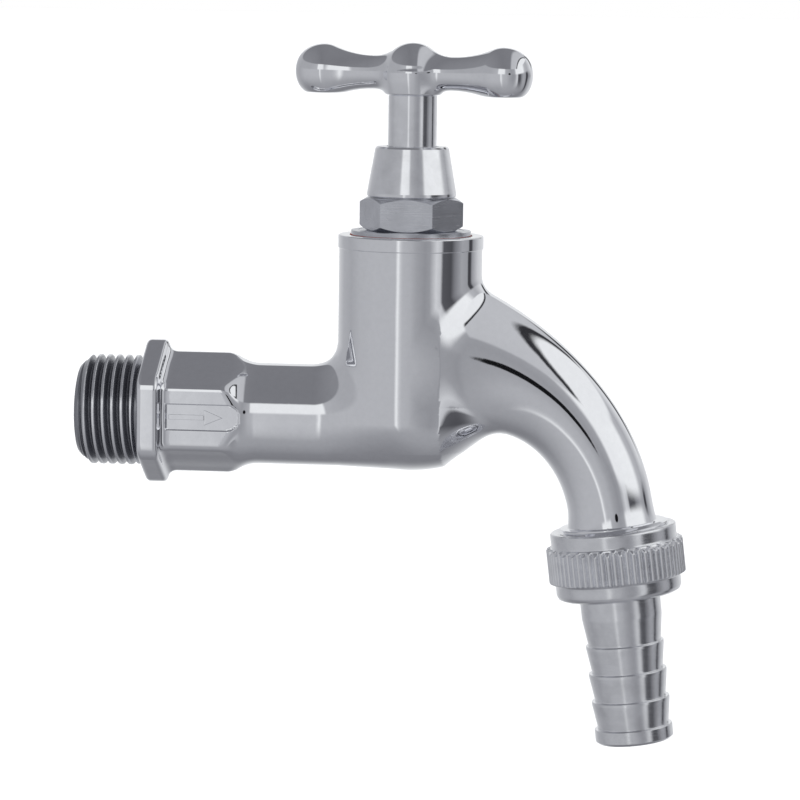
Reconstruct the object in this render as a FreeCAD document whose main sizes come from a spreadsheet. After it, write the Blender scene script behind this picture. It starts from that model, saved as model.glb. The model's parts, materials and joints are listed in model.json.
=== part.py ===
"""Hose bib: a wall tap with a screw-down valve, a T-handle and a hose tail on a union nut.

Frame, in millimetres: the origin is the centre of the flange's wall face, +X runs along the
inlet away from the wall, +Z runs up along the spindle. The outlet leans by outlet_tilt from
straight down towards +X, and lengths along it are counted from the top of the union nut.
"""
import FreeCAD, Part
import math
import os
import Sketcher

Vector = FreeCAD.Vector
Rotation = FreeCAD.Rotation
Placement = FreeCAD.Placement

DRIVING_SIZES = {
    # Parallel pipe thread of half an inch: inlet, bonnet and outlet share it.
    "thread_pitch": 1.814,
    "thread_radius": 10.4775,
    "thread_depth": 1.162,
    "inner_thread_depth": 0.88,
    "thread_clearance": 0.17,
    "crest_flat": 0.42,
    # Casting: inlet.
    "inlet_thread_length": 11.6,
    "inlet_relief": 1.0,
    "inlet_nose_length": 1.0,
    "inlet_bore": 6.5,
    "flange_thickness": 4.0,
    "flange_flats": 24.65,
    "flange_round": 4.0,
    "section_flats": 20.4,
    "section_round": 2.2,
    "section_length": 15.6,
    "section_taper": 4.4,
    "pipe_radius": 9.54,
    "wall_recess": 0.4,
    "badge_half_height": 2.45,
    "badge_depth": 0.35,
    # Casting: barrel.
    "spindle_distance": 50.15,
    "barrel_radius": 13.5,
    "barrel_depth": 9.6,
    "barrel_height": 34.65,
    "collar_radius": 13.7,
    "collar_height": 2.6,
    "chamber_radius": 9.3,
    "chamber_floor": 9.4,
    "seat_height": 11.0,
    "seat_bore": 5.5,
    "seat_lip_width": 1.5,
    # Casting: spout.
    "spout_height": 10.6,
    "spout_start": 7.05,
    "spout_bend": 32.0,
    "spout_root_rise": 17.1,
    "spout_root_width": 12.2,
    "spout_swell_power": 3,
    "spout_swell_turn": 80.0,
    "spout_end_radius": 8.0,
    "spout_bore": 6.0,
    "spout_bore_height": 15.8,
    "outlet_tilt": 7.1,
    "outlet_straight": 2.4,
    "outlet_shoulder": 0.6,
    "outlet_length": 7.6,
    # Bonnet and gland.
    "gasket_thickness": 1.0,
    "gasket_seat_depth": 1.0,
    "gasket_radius": 11.5,
    "bonnet_drop": 11.2,
    "bonnet_flange": 0.8,
    "bonnet_flats": 17.0,
    "bonnet_hexagon_height": 6.2,
    "bonnet_neck_height": 2.4,
    "bonnet_neck_radius": 7.0,
    "stuffing_box_radius": 6.1,
    "stuffing_box_depth": 7.2,
    "web_thickness": 1.0,
    "packing_washer_thickness": 0.6,
    "packing_ring_height": 1.5,
    "follower_flange_height": 0.8,
    "follower_flange_radius": 6.8,
    "cap_gap": 0.2,
    "cap_height": 9.4,
    "cap_base_radius": 8.42,
    "cap_top_radius": 6.9,
    # Spindle and handle.
    "spindle_radius": 4.57,
    "spindle_thread_radius": 5.75,
    "spindle_thread_depth": 1.1,
    "spindle_lead": 2.5,
    "spindle_thread_length": 11.0,
    "spindle_thread_foot": 1.6,
    "spindle_neck_length": 9.65,
    "square_width": 5.6,
    "square_height": 6.0,
    "socket_clearance": 0.05,
    "shaft_clearance": 0.09,
    "handle_rise": 4.1,
    "handle_turn": -17.0,
    "handle_half_length": 23.9,
    "hub_radius": 5.7,
    "skirt_radius": 4.7,
    "arm_neck_radius": 3.15,
    "arm_neck_distance": 8.0,
    "knob_radius": 5.15,
    "knob_distance": 18.3,
    "knob_end_length": 5.8,
    "grub_radius": 1.5,
    "grub_length": 2.0,
    # Jumper with its washer.
    "seat_washer_thickness": 3.2,
    "seat_washer_radius": 6.95,
    "jumper_disc_thickness": 2.3,
    "jumper_disc_radius": 7.6,
    "jumper_rim_height": 1.2,
    "jumper_stem_radius": 2.4,
    "jumper_stem_length": 11.5,
    "jumper_stud_radius": 2.0,
    "jumper_stud_length": 4.0,
    "clip_wire": 0.7,
    "clip_height": 4.0,
    "retainer_thickness": 0.6,
    "retainer_radius": 3.8,
    "washer_nut_flats": 6.5,
    "washer_nut_height": 2.6,
    # Union nut and hose tail, along the outlet.
    "nut_length": 12.9,
    "nut_top_radius": 11.9,
    "nut_band_start": 2.7,
    "nut_band_length": 7.2,
    "nut_ridge_radius": 12.95,
    "nut_ridge_depth": 0.5,
    "nut_ridge_pairs": 33,
    "nut_ridge_width": 0.56,
    "nut_ridge_stagger": 0.5,
    "nut_foot_radius": 11.85,
    "nut_floor": 1.6,
    "nut_cavity_radius": 9.9,
    "tail_washer_thickness": 1.5,
    "tail_collar_height": 1.45,
    "tail_collar_radius": 9.4,
    "tail_neck_radius": 7.6,
    "tail_neck_length": 4.0,
    "tail_waist_radius": 6.95,
    "barb_start": 9.2,
    "barb_pitch": 5.35,
    "barb_crest_radius": 7.4,
    "barb_valley_radius": 6.75,
    "barb_land": 0.5,
    "bead_length": 2.8,
    "tail_bore": 5.0,
}


class Length:
    """A number together with the spreadsheet formula that gives it."""

    def __init__(self, value, formula):
        self.value = value
        self.formula = formula

    def __add__(self, other):
        other = as_length(other)
        return Length(self.value + other.value, f"({self.formula} + {other.formula})")

    def __sub__(self, other):
        other = as_length(other)
        return Length(self.value - other.value, f"({self.formula} - {other.formula})")

    def __mul__(self, factor):
        return Length(self.value * factor, f"({self.formula} * {factor})")


def as_length(number):
    if isinstance(number, Length):
        return number
    return Length(float(number), repr(float(number)))


doc = FreeCAD.newDocument("hose_bib")
sheet = doc.addObject("Spreadsheet::Sheet", "Sizes")
for row, (name, number) in enumerate(DRIVING_SIZES.items(), start=1):
    sheet.set(f"A{row}", name)
    sheet.set(f"B{row}", str(number))
    sheet.setAlias(f"B{row}", name)
doc.recompute()


def size(name):
    return Length(float(sheet.get(name)), f"Sizes.{name}")


# ---------------------------------------------------------------- derived heights and radii

thread_root = size("thread_radius") - size("thread_depth")
inner_root = size("thread_radius") - size("inner_thread_depth")
tapped_minor = inner_root + size("thread_clearance")
tapped_major = size("thread_radius") + size("thread_clearance")

gasket_base = size("barrel_height") - size("gasket_seat_depth")
bonnet_seat = gasket_base + size("gasket_thickness")
bonnet_base = bonnet_seat - size("bonnet_drop") - 0.4
hexagon_base = bonnet_seat + size("bonnet_flange")
hexagon_top = hexagon_base + size("bonnet_hexagon_height")
neck_top = hexagon_top + size("bonnet_neck_height")
box_floor = neck_top - size("stuffing_box_depth")
web_base = box_floor - size("web_thickness")
rings_base = box_floor + size("packing_washer_thickness")
rings_top = rings_base + size("packing_ring_height") * 3
cap_base = hexagon_top + size("cap_gap")
cap_top = cap_base + size("cap_height")
follower_flange_base = neck_top + 0.2
cap_shoulder = follower_flange_base + size("follower_flange_height")
spindle_bore = size("spindle_radius") + size("shaft_clearance")

washer_top = size("seat_height") + size("seat_washer_thickness")
disc_top = washer_top + size("jumper_disc_thickness")
spindle_thread_base = disc_top + size("spindle_thread_foot")
spindle_thread_top = spindle_thread_base + size("spindle_thread_length")
spindle_shoulder = cap_top + size("spindle_neck_length")
handle_axis = spindle_shoulder + size("handle_rise")
stem_top = disc_top + size("jumper_stem_length")
clip_base = disc_top + size("clip_height")

tilt = math.radians(size("outlet_tilt").value)
outlet_direction = Vector(math.sin(tilt), 0, -math.cos(tilt))
bend_angle = math.pi / 2 - tilt
bend_centre = Vector(size("spindle_distance").value + size("spout_start").value, 0,
                     size("spout_height").value - size("spout_bend").value)
bend_end = bend_centre + Vector(math.sin(bend_angle), 0, math.cos(bend_angle)) * size("spout_bend").value
outlet_origin = bend_end + outlet_direction * size("outlet_straight").value
outlet_x = ("Sizes.spindle_distance + Sizes.spout_start + Sizes.spout_bend * cos(Sizes.outlet_tilt)"
            " + Sizes.outlet_straight * sin(Sizes.outlet_tilt)")
outlet_z = ("Sizes.spout_height - Sizes.spout_bend * (1 - sin(Sizes.outlet_tilt))"
            " - Sizes.outlet_straight * cos(Sizes.outlet_tilt)")
outlet_placement = Placement(outlet_origin, Rotation(Vector(0, 0, 1), outlet_direction))
spindle_placement = Placement(Vector(size("spindle_distance").value, 0, 0), Rotation())

washer_end = size("outlet_length") + size("tail_washer_thickness")
collar_end = washer_end + size("tail_collar_height")
nut_ledge = size("nut_length") - size("nut_floor")
first_barb = size("nut_length") + size("barb_start")
bead_start = first_barb + size("barb_pitch") * 3
tail_end = bead_start + size("bead_length")


# ---------------------------------------------------------------- building helpers

def origin_feature(body, role):
    return [item for item in body.Origin.OriginFeatures if item.Role == role][0]


def new_body(label):
    body = doc.addObject("PartDesign::Body", label)
    body.Label = label
    return body


def outline_sketch(body, plane, name, points):
    """A closed outline of straight lines, each corner held by two bound distances."""
    sketch = body.newObject("Sketcher::SketchObject", name)
    sketch.AttachmentSupport = [(origin_feature(body, plane), "")]
    sketch.MapMode = "FlatFace"
    corners = [(as_length(across), as_length(along)) for across, along in points]
    count = len(corners)
    for index in range(count):
        start, end = corners[index], corners[(index + 1) % count]
        sketch.addGeometry(Part.LineSegment(Vector(start[0].value, start[1].value, 0),
                                            Vector(end[0].value, end[1].value, 0)))
    for index in range(count):
        sketch.addConstraint(Sketcher.Constraint("Coincident", index, 2, (index + 1) % count, 1))
    for index, (across, along) in enumerate(corners):
        for kind, distance in (("DistanceX", across), ("DistanceY", along)):
            constraint = sketch.addConstraint(
                Sketcher.Constraint(kind, -1, 1, index, 1, distance.value))
            if "Sizes" in distance.formula:
                sketch.setExpression(f"Constraints[{constraint}]", distance.formula)
    return sketch


def turned(body, points, name="Turned", kind="PartDesign::Revolution"):
    """Turns an outline of (radius, height) corners about the body's Z axis."""
    feature = body.newObject(kind, name)
    feature.Profile = outline_sketch(body, "XZ_Plane", name + "Outline", points)
    feature.ReferenceAxis = (origin_feature(body, "Z_Axis"), [""])
    feature.Angle = 360
    return feature


def ring_outline(inner, outer, base, top, chamfer=0.0):
    """The cross-section of a ring, its four corners cut by a chamfer."""
    if not chamfer:
        return [(inner, base), (outer, base), (outer, top), (inner, top)]
    return [(inner + chamfer, base), (outer - chamfer, base), (outer, base + chamfer),
            (outer, top - chamfer), (outer - chamfer, top), (inner + chamfer, top),
            (inner, top - chamfer), (inner, base + chamfer)]


def polygon_outline(flats, sides=6, turn=0.0):
    """Corners of a regular polygon of the given width across flats."""
    corner = flats * (0.5 / math.cos(math.pi / sides))
    angles = [math.radians(turn) + 2 * math.pi * side / sides for side in range(sides)]
    return [(corner * math.cos(angle), corner * math.sin(angle)) for angle in angles]


def prism(body, points, base, height, name, kind="PartDesign::Pad"):
    """Pads or pockets an outline between two heights of the body."""
    feature = body.newObject(kind, name)
    sketch = outline_sketch(body, "XY_Plane", name + "Outline", points)
    sketch.AttachmentOffset = Placement(Vector(0, 0, base.value), Rotation())
    sketch.setExpression("AttachmentOffset.Base.z", base.formula)
    feature.Profile = sketch
    feature.Length = height.value
    feature.setExpression("Length", height.formula)
    return feature


def cut_thread(body, root, rim, root_width, rim_width, pitch, start, length, name):
    """Cuts a right-handed groove whose centre crosses the XZ plane at the start height."""
    half_root, half_rim = root_width * 0.5, rim_width * 0.5
    corners = [(root, start - half_root), (root, start + half_root),
               (rim, start + half_rim), (rim, start - half_rim)]
    groove = body.newObject("PartDesign::SubtractiveHelix", name)
    groove.Profile = outline_sketch(body, "XZ_Plane", name + "Outline", corners)
    groove.ReferenceAxis = (origin_feature(body, "Z_Axis"), [""])
    groove.Mode = "pitch-height-angle"
    groove.Pitch = pitch.value
    groove.setExpression("Pitch", pitch.formula)
    groove.Height = length.value
    groove.setExpression("Height", length.formula)
    return groove


def thread_turns(root, rim, root_width, rim_width, pitch, start, length):
    """The same groove about Z for the casting, as whole turns that follow each other.

    The turns begin a little way round from the XZ plane, off the seams of round faces.
    """
    seam_turn = 35
    corners = [Vector(root, 0, -root_width / 2), Vector(root, 0, root_width / 2),
               Vector(rim, 0, rim_width / 2), Vector(rim, 0, -rim_width / 2)]
    profile = Part.makePolygon(corners + corners[:1])
    helix = Part.makeHelix(pitch, pitch, max(root, rim))
    turn = Part.Wire(helix.Edges).makePipeShell([profile], True, True)
    turn.rotate(Vector(), Vector(0, 0, 1), seam_turn)
    turn.translate(Vector(0, 0, start - pitch * seam_turn / 360))
    turns = []
    for index in range(math.ceil(length / pitch)):
        follower = turn.copy()
        follower.translate(Vector(0, 0, pitch * index))
        turns.append(follower)
    return turns


def cut_all(shape, cuts):
    """Makes cuts, each a list of solids to take away, and makes sure that each removes something."""
    for cut in cuts:
        before = shape.Volume
        for solid in cut:
            shape = shape.cut(solid)
        if shape.Volume > before - 0.5:
            raise RuntimeError("a cut in the casting removed nothing")
    return shape


def place(body, placement, formulas=()):
    body.Placement = placement
    for target, formula in formulas:
        body.setExpression(target, formula)


def on_spindle(body):
    place(body, spindle_placement, [("Placement.Base.x", "Sizes.spindle_distance")])


def on_outlet(body):
    place(body, outlet_placement, [("Placement.Base.x", outlet_x), ("Placement.Base.z", outlet_z)])


# Whitworth flanks stand 27.5 degrees off the thread's square.
flank = math.tan(math.radians(27.5))
pitch = size("thread_pitch")
ridge_crest = size("crest_flat")


def groove_width(ridge_width, depth):
    """Width of the groove between ridges, a given depth below where a ridge is ridge_width wide."""
    return pitch - ridge_width - depth * (2 * flank)


# A tapped groove is the ridge of its mate, wider by the clearance on each flank.
tapped_root_width = ridge_crest + size("thread_clearance")
tapped_rim_width = tapped_root_width + size("inner_thread_depth") * (2 * flank)
over = 0.3


# ---------------------------------------------------------------- valve body, one casting

def rounded_hexagon(flats, rounding, start, length):
    """A hexagonal bar along X with corners up and down and its long edges rounded."""
    corner = flats / math.sqrt(3)
    points = [Vector(start, corner * math.sin(math.radians(60 * side)),
                     corner * math.cos(math.radians(60 * side))) for side in range(6)]
    bar = Part.Face(Part.makePolygon(points + points[:1])).extrude(Vector(length, 0, 0))
    long_edges = [edge for edge in bar.Edges if abs(edge.Length - length) < 1e-6
                  and abs(edge.tangentAt(edge.FirstParameter).x) > 0.99]
    return bar.makeFillet(rounding, long_edges)


def revolved(points, axis_point, axis):
    """A solid of revolution of a closed outline of straight lines."""
    return Part.Face(Part.makePolygon(points + points[:1])).revolve(axis_point, axis, 360)


def spout_section(turned_by, beyond=0.0):
    """Ellipse across the spout: its swell shrinks with a power of the turn still to go."""
    swell = max(0.0, 1 - math.degrees(turned_by) / size("spout_swell_turn").value)
    swell **= size("spout_swell_power").value
    end_radius = size("spout_end_radius").value
    rise = end_radius + 0.01 + (size("spout_root_rise").value - end_radius) * swell
    width = end_radius + (size("spout_root_width").value - end_radius) * swell
    outward = Vector(math.sin(turned_by), 0, math.cos(turned_by))
    centre = bend_centre + outward * size("spout_bend").value + outlet_direction * beyond
    ellipse = Part.Ellipse(centre + outward * rise, centre + Vector(0, 1, 0) * width, centre)
    return Part.Wire([ellipse.toShape()])


def spout_solid():
    """Loft through nine sections round the bend and one on the straight, inside the shoulder."""
    steps = 9
    sections = [spout_section(bend_angle * step / (steps - 1)) for step in range(steps)]
    sections.append(spout_section(bend_angle, size("outlet_straight").value - 0.2))
    return Part.makeLoft(sections, True, False)


def outlet_turned():
    """The shoulder and the plain stub that takes the outlet thread, about local Z."""
    shoulder = size("outlet_shoulder").value
    radius = size("thread_radius").value
    end_radius = size("spout_end_radius").value
    end = size("outlet_length").value
    relief = inner_root.value - 0.05
    points = [(0, -shoulder - 1.5), (end_radius - 0.4, -shoulder - 1.5), (end_radius + 0.6, -shoulder - 0.5),
              (radius - 0.25, -shoulder), (radius, -shoulder + 0.25), (radius, 0.1), (relief, 0.3),
              (relief, 1.2), (radius, 2.0), (radius, end - 0.8), (radius - 0.8, end), (0, end)]
    return revolved([Vector(across, 0, along) for across, along in points], Vector(), Vector(0, 0, 1))


def inlet_spigot():
    """Threaded stub: eight bars side by side, so that each thread crest is made of short arcs."""
    radius = size("thread_radius").value
    nose_radius = thread_root.value - 0.1
    thread_length = size("inlet_thread_length").value
    nose = size("inlet_nose_length").value
    relief = size("inlet_relief").value
    wedge = 360 / 8
    wedges = [Part.makeCylinder(radius, thread_length - relief, Vector(0, 0, relief), Vector(0, 0, 1), wedge)
              for _ in range(8)]
    for index, bar in enumerate(wedges):
        bar.rotate(Vector(), Vector(0, 0, 1), wedge * index)
    bar = wedges[0].multiFuse(wedges[1:])
    end = thread_length + nose
    points = [(0, -1.0), (nose_radius, -1.0), (nose_radius, end - 0.7), (nose_radius - 0.7, end), (0, end)]
    core = revolved([Vector(across, 0, along) for across, along in points], Vector(), Vector(0, 0, 1))
    run_out = revolved([Vector(nose_radius, 0, thread_length + 1), Vector(radius + 1, 0, thread_length + 1),
                        Vector(radius + 1, 0, thread_length - 1.4),
                        Vector(nose_radius, 0, thread_length + 0.3)], Vector(), Vector(0, 0, 1))
    spigot = bar.cut(run_out).fuse(core)
    opening = groove_width(ridge_crest, as_length(0)).value
    floor = groove_width(ridge_crest, size("thread_depth")).value
    slope = (opening - floor) / size("thread_depth").value
    spigot = cut_all(spigot, [thread_turns(thread_root.value, radius + over, floor, opening + slope * over,
                                           pitch.value, 0.95, thread_length - 0.95)])
    spigot.Placement = Placement(Vector(), Rotation(Vector(0, 0, 1), Vector(-1, 0, 0)))
    return spigot


def badge_cut():
    """Sunk panel on the section's front flat, running out of the flange to a round end."""
    half = size("badge_half_height").value
    front = -size("section_flats").value / 2
    depth = size("badge_depth").value
    start = size("flange_thickness").value + 1.6
    end = size("section_length").value + 0.8
    panel = Part.makeBox(end - start, depth + 2, 2 * half, Vector(start, front - 2, -half))
    tip = Part.makeCylinder(half, depth + 2, Vector(end, front - 2, 0), Vector(0, 1, 0))
    return panel.fuse(tip)


def flow_arrow():
    """Raised arrow on the panel's floor, pointing the way the water runs."""
    front = -size("section_flats").value / 2 + size("badge_depth").value
    middle = (size("flange_thickness").value + size("section_length").value + 2.4) / 2
    points = [(-5.2, -0.5), (1.6, -0.5), (1.6, -1.5), (5.2, 0), (1.6, 1.5), (1.6, 0.5), (-5.2, 0.5)]
    corners = [Vector(middle + along, front + 0.2, up) for along, up in points]
    return Part.Face(Part.makePolygon(corners + corners[:1])).extrude(Vector(0, -0.45, 0))


def spout_bore():
    """One arc from the upper chamber to the outlet's shoulder, then straight along the outlet."""
    height = size("spout_bore_height").value
    radius = size("spout_bore").value
    shoulder = outlet_origin - outlet_direction * size("outlet_shoulder").value
    corner = shoulder - outlet_direction * ((height - shoulder.z) / math.cos(tilt))
    tangent = (corner - shoulder).Length
    bend = tangent / math.tan(bend_angle / 2)
    start = corner - Vector(tangent, 0, 0)
    middle = start + Vector(math.sin(bend_angle / 2), 0, math.cos(bend_angle / 2) - 1) * bend
    path = Part.Wire([Part.Arc(start, middle, shoulder).toShape()])
    mouth = Part.Wire([Part.Circle(start, Vector(1, 0, 0), radius).toShape()])
    bent = path.makePipeShell([mouth], True, False)
    straight = Part.makeCylinder(radius, size("outlet_length").value + 2.0, shoulder - outlet_direction * 0.01,
                                 outlet_direction)
    return [bent, straight]


def make_valve_body():
    distance = size("spindle_distance").value
    axis_foot = Vector(distance, 0, 0)
    top = size("barrel_height").value
    collar = size("collar_radius").value
    barrel_radius = size("barrel_radius").value
    ledge = top - size("collar_height").value
    barrel = Part.makeCylinder(barrel_radius, top, axis_foot)
    bottom = Part.makeSphere(barrel_radius, Vector(), Vector(0, 0, 1), -90, 0, 360)
    squash = FreeCAD.Matrix()
    squash.scale(1, 1, size("barrel_depth").value / barrel_radius)
    bottom = bottom.transformGeometry(squash)
    bottom.translate(axis_foot)
    pipe = Part.makeCylinder(size("pipe_radius").value, distance - 10.0, Vector(10.0, 0, 0), Vector(1, 0, 0))
    trunk = barrel.fuse(bottom).fuse(pipe)
    trunk = trunk.fuse(spout_solid())
    collar_points = [(0, ledge - 0.15), (barrel_radius, ledge - 0.15), (collar, ledge + 0.15),
                     (collar, top - 0.7), (collar - 0.7, top), (0, top)]
    collar_ring = revolved([axis_foot + Vector(across, 0, up) for across, up in collar_points],
                           axis_foot, Vector(0, 0, 1))
    trunk = trunk.fuse(collar_ring)

    thickness = size("flange_thickness").value
    section_end = size("section_length").value
    flange = rounded_hexagon(size("flange_flats").value, size("flange_round").value, 0, thickness + 2.2)
    section = rounded_hexagon(size("section_flats").value, size("section_round").value, 0.5,
                              section_end + size("section_taper").value)
    flange_corner = size("flange_flats").value / math.sqrt(3)
    section_corner = size("section_flats").value / math.sqrt(3)
    flange_back = [(0, 0), (0, flange_corner - 0.4), (0.4, flange_corner + 0.2),
                   (thickness - 0.6, flange_corner + 0.2), (thickness + 0.3, flange_corner - 0.9),
                   (thickness + 2.2, section_corner - 0.6), (thickness + 2.2, 0)]
    section_cone = [(0, 0), (0, section_corner + 0.4), (section_end, section_corner + 0.4),
                    (section_end + size("section_taper").value, size("pipe_radius").value - 0.05),
                    (section_end + size("section_taper").value, 0)]
    for bar, outline in ((flange, flange_back), (section, section_cone)):
        envelope = revolved([Vector(along, 0, across) for along, across in outline],
                            Vector(), Vector(1, 0, 0))
        trunk = trunk.fuse(bar.common(envelope))

    radius = size("thread_radius").value
    opening = groove_width(ridge_crest, as_length(0)).value
    floor = groove_width(ridge_crest, size("inner_thread_depth")).value
    slope = (opening - floor) / size("inner_thread_depth").value
    outlet = cut_all(outlet_turned(), [thread_turns(
        inner_root.value, radius + over, floor, opening + slope * over, pitch.value, 0.75,
        size("outlet_length").value - 0.75)])
    outlet.Placement = outlet_placement
    trunk = trunk.fuse(inlet_spigot()).fuse(outlet)

    bore = size("inlet_bore").value
    spigot_end = size("inlet_thread_length").value + size("inlet_nose_length").value
    seat = size("seat_height").value
    lip = size("seat_bore").value + size("seat_lip_width").value
    chamber = [(0, size("chamber_floor").value), (size("chamber_radius").value, size("chamber_floor").value),
               (size("chamber_radius").value, bonnet_base.value - 0.6),
               (tapped_minor.value, bonnet_base.value - 0.4), (tapped_minor.value, gasket_base.value),
               (size("gasket_radius").value + 0.1, gasket_base.value),
               (size("gasket_radius").value + 0.1, top + 1), (0, top + 1)]
    chamber_solid = revolved([axis_foot + Vector(across, 0, up) for across, up in chamber],
                             axis_foot, Vector(0, 0, 1))
    lip_ring = Part.makeCylinder(lip, seat - size("chamber_floor").value, axis_foot
                                 + Vector(0, 0, size("chamber_floor").value))
    tapped_turns = thread_turns(tapped_major.value, tapped_minor.value - over, tapped_root_width.value,
                                tapped_rim_width.value + 2 * flank * over, pitch.value,
                                tapped_start.value, size("bonnet_drop").value)
    for turn in tapped_turns:
        turn.translate(axis_foot)
    recess = revolved([Vector(-1, 0, thread_root.value), Vector(-1, 0, radius + 0.6),
                       Vector(size("wall_recess").value, 0, radius + 0.6),
                       Vector(size("wall_recess").value, 0, thread_root.value)],
                      Vector(), Vector(1, 0, 0))
    spout_way = spout_bore()
    way_above_lip = [part.cut(lip_ring) for part in spout_way]
    cutters = [
        Part.makeCylinder(bore, distance + spigot_end + 1, Vector(-spigot_end - 1, 0, 0), Vector(1, 0, 0)),
        Part.makeSphere(bore, axis_foot),
        Part.makeCylinder(size("seat_bore").value, seat + 1, axis_foot),
        chamber_solid.cut(lip_ring), recess, badge_cut(),
    ]
    trunk = cut_all(trunk, [[cutter] for cutter in cutters + way_above_lip] + [tapped_turns])
    return trunk.fuse(flow_arrow())


# The bonnet's thread: its grooves cross the XZ plane at bonnet_groove_start, and the ridges
# between them, half a pitch on, are where the barrel's grooves start.
bonnet_groove_start = bonnet_base - pitch
tapped_start = bonnet_groove_start + pitch * 0.5

valve_body = doc.addObject("Part::Feature", "valve_body")
valve_body.Label = "valve_body"
valve_body.Shape = make_valve_body()
valve_body.Placement = Placement()


# ---------------------------------------------------------------- bonnet and gland

bonnet_gasket = new_body("bonnet_gasket")
turned(bonnet_gasket, ring_outline(size("thread_radius") + 0.1, size("gasket_radius"),
                                   gasket_base, bonnet_seat))
on_spindle(bonnet_gasket)

bonnet = new_body("bonnet")
relief_bore = size("spindle_thread_radius") + 0.35
spindle_tap_minor = size("spindle_thread_radius") - size("spindle_thread_depth") + 0.2
spindle_tap_top = bonnet_base + 7.0
turned(bonnet, [
    (spindle_tap_minor, bonnet_base), (inner_root - 0.1, bonnet_base), (size("thread_radius"), bonnet_base + 0.9),
    (size("thread_radius"), gasket_base - 1.0), (inner_root - 0.1, gasket_base - 0.2),
    (inner_root - 0.1, bonnet_seat), (size("gasket_radius") - 0.2, bonnet_seat),
    (size("gasket_radius") - 0.2, hexagon_base), (size("bonnet_neck_radius"), hexagon_base + 0.2),
    (size("bonnet_neck_radius"), neck_top - 0.3), (size("bonnet_neck_radius") - 0.3, neck_top),
    (size("stuffing_box_radius"), neck_top), (size("stuffing_box_radius"), box_floor),
    (spindle_bore, box_floor), (spindle_bore, web_base), (relief_bore, web_base),
    (relief_bore, spindle_tap_top), (spindle_tap_minor, spindle_tap_top)])
prism(bonnet, polygon_outline(size("bonnet_flats")), hexagon_base,
      size("bonnet_hexagon_height"), "Hexagon")
corner_radius = size("bonnet_flats") * (1 / math.sqrt(3))
turned(bonnet, [
    (size("bonnet_neck_radius") + 2.2, hexagon_top + 0.1), (size("bonnet_neck_radius") + 1.35, hexagon_top),
    (corner_radius + 0.2, hexagon_top - 1.05), (corner_radius + 0.2, hexagon_top + 0.1)],
    "TopChamfer", "PartDesign::Groove")
turned(bonnet, [
    (size("bonnet_neck_radius") + 1.35, hexagon_base), (corner_radius + 0.2, hexagon_base),
    (corner_radius + 0.2, hexagon_base + 1.05)], "FootChamfer", "PartDesign::Groove")
turned(bonnet, [
    (0, hexagon_base - 0.2), (relief_bore, hexagon_base - 0.2), (relief_bore, web_base),
    (spindle_bore, web_base), (spindle_bore, box_floor), (size("stuffing_box_radius"), box_floor),
    (size("stuffing_box_radius"), hexagon_top + 0.1), (0, hexagon_top + 0.1)],
    "BoxRebore", "PartDesign::Groove")
groove_rim = groove_width(ridge_crest, as_length(0)) + over * 2 * flank
cut_thread(bonnet, inner_root, size("thread_radius") + over,
           groove_width(ridge_crest, size("inner_thread_depth")), groove_rim, pitch,
           bonnet_groove_start, size("bonnet_drop") + 0.6, "BarrelThread")
spindle_ridge = 0.75
spindle_slope = 0.268
spindle_depth = size("spindle_thread_depth")
lead = size("spindle_lead")
spindle_tap_start = bonnet_base - lead * 2
cut_thread(bonnet, size("spindle_thread_radius") + 0.2, spindle_tap_minor - over,
           as_length(spindle_ridge + 0.4), as_length(spindle_ridge + 0.4)
           + (spindle_depth + over) * (2 * spindle_slope), lead, spindle_tap_start,
           lead * 2 + 8.2, "SpindleThread")
on_spindle(bonnet)


def gland_ring(label, inner, outer, base, top, chamfer):
    body = new_body(label)
    turned(body, ring_outline(inner, outer, base, top, chamfer))
    on_spindle(body)


box_fit = size("stuffing_box_radius") - 0.03
gland_ring("packing_washer", spindle_bore, box_fit, box_floor, rings_base, 0.0)
for index, label in enumerate(("packing_ring_lower", "packing_ring_middle", "packing_ring_upper")):
    ring_base = rings_base + size("packing_ring_height") * index
    gland_ring(label, spindle_bore, box_fit, ring_base, ring_base + size("packing_ring_height"), 0.25)

gland_follower = new_body("gland_follower")
turned(gland_follower, [
    (spindle_bore + 0.03, rings_top), (box_fit, rings_top), (box_fit, follower_flange_base),
    (size("follower_flange_radius"), follower_flange_base), (size("follower_flange_radius"), cap_shoulder),
    (spindle_bore + 0.03, cap_shoulder)])
on_spindle(gland_follower)

gland_cap = new_body("gland_cap")
cap_bore = size("bonnet_neck_radius") + 0.03
turned(gland_cap, [
    (cap_bore, cap_base), (size("cap_base_radius") - 0.2, cap_base), (size("cap_base_radius"), cap_base + 0.2),
    (size("cap_base_radius") - 0.02, cap_base + 0.7), (size("cap_top_radius") + 0.03, cap_top - 0.35),
    (size("cap_top_radius") - 0.3, cap_top), (spindle_bore + 0.5, cap_top),
    (spindle_bore + 0.1, cap_top - 0.4), (spindle_bore + 0.1, cap_shoulder), (cap_bore, cap_shoulder)])
on_spindle(gland_cap)


# ---------------------------------------------------------------- spindle and handle

spindle = new_body("spindle")
stem_bore = size("jumper_stem_radius") + 0.1
clip_groove_radius = size("jumper_stem_radius") + 0.65
thread_foot_radius = size("spindle_thread_radius") - spindle_depth
foot_radius = thread_foot_radius - 0.08
turned(spindle, [
    (stem_bore, disc_top), (foot_radius, disc_top), (foot_radius, spindle_thread_base),
    (size("spindle_thread_radius"), spindle_thread_base + 1.0),
    (size("spindle_thread_radius"), spindle_thread_top),
    (size("spindle_radius"), spindle_thread_top), (size("spindle_radius"), spindle_shoulder - 0.15),
    (size("spindle_radius") - 0.15, spindle_shoulder), (0, spindle_shoulder),
    (0, stem_top + 0.4), (stem_bore, stem_top + 0.4),
    (stem_bore, clip_base + size("clip_wire") + 0.2), (clip_groove_radius, clip_base + size("clip_wire") + 0.2),
    (clip_groove_radius, clip_base - 0.2), (stem_bore, clip_base - 0.2)])
half_square = size("square_width") * 0.5
handle_turn = size("handle_turn").value
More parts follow.
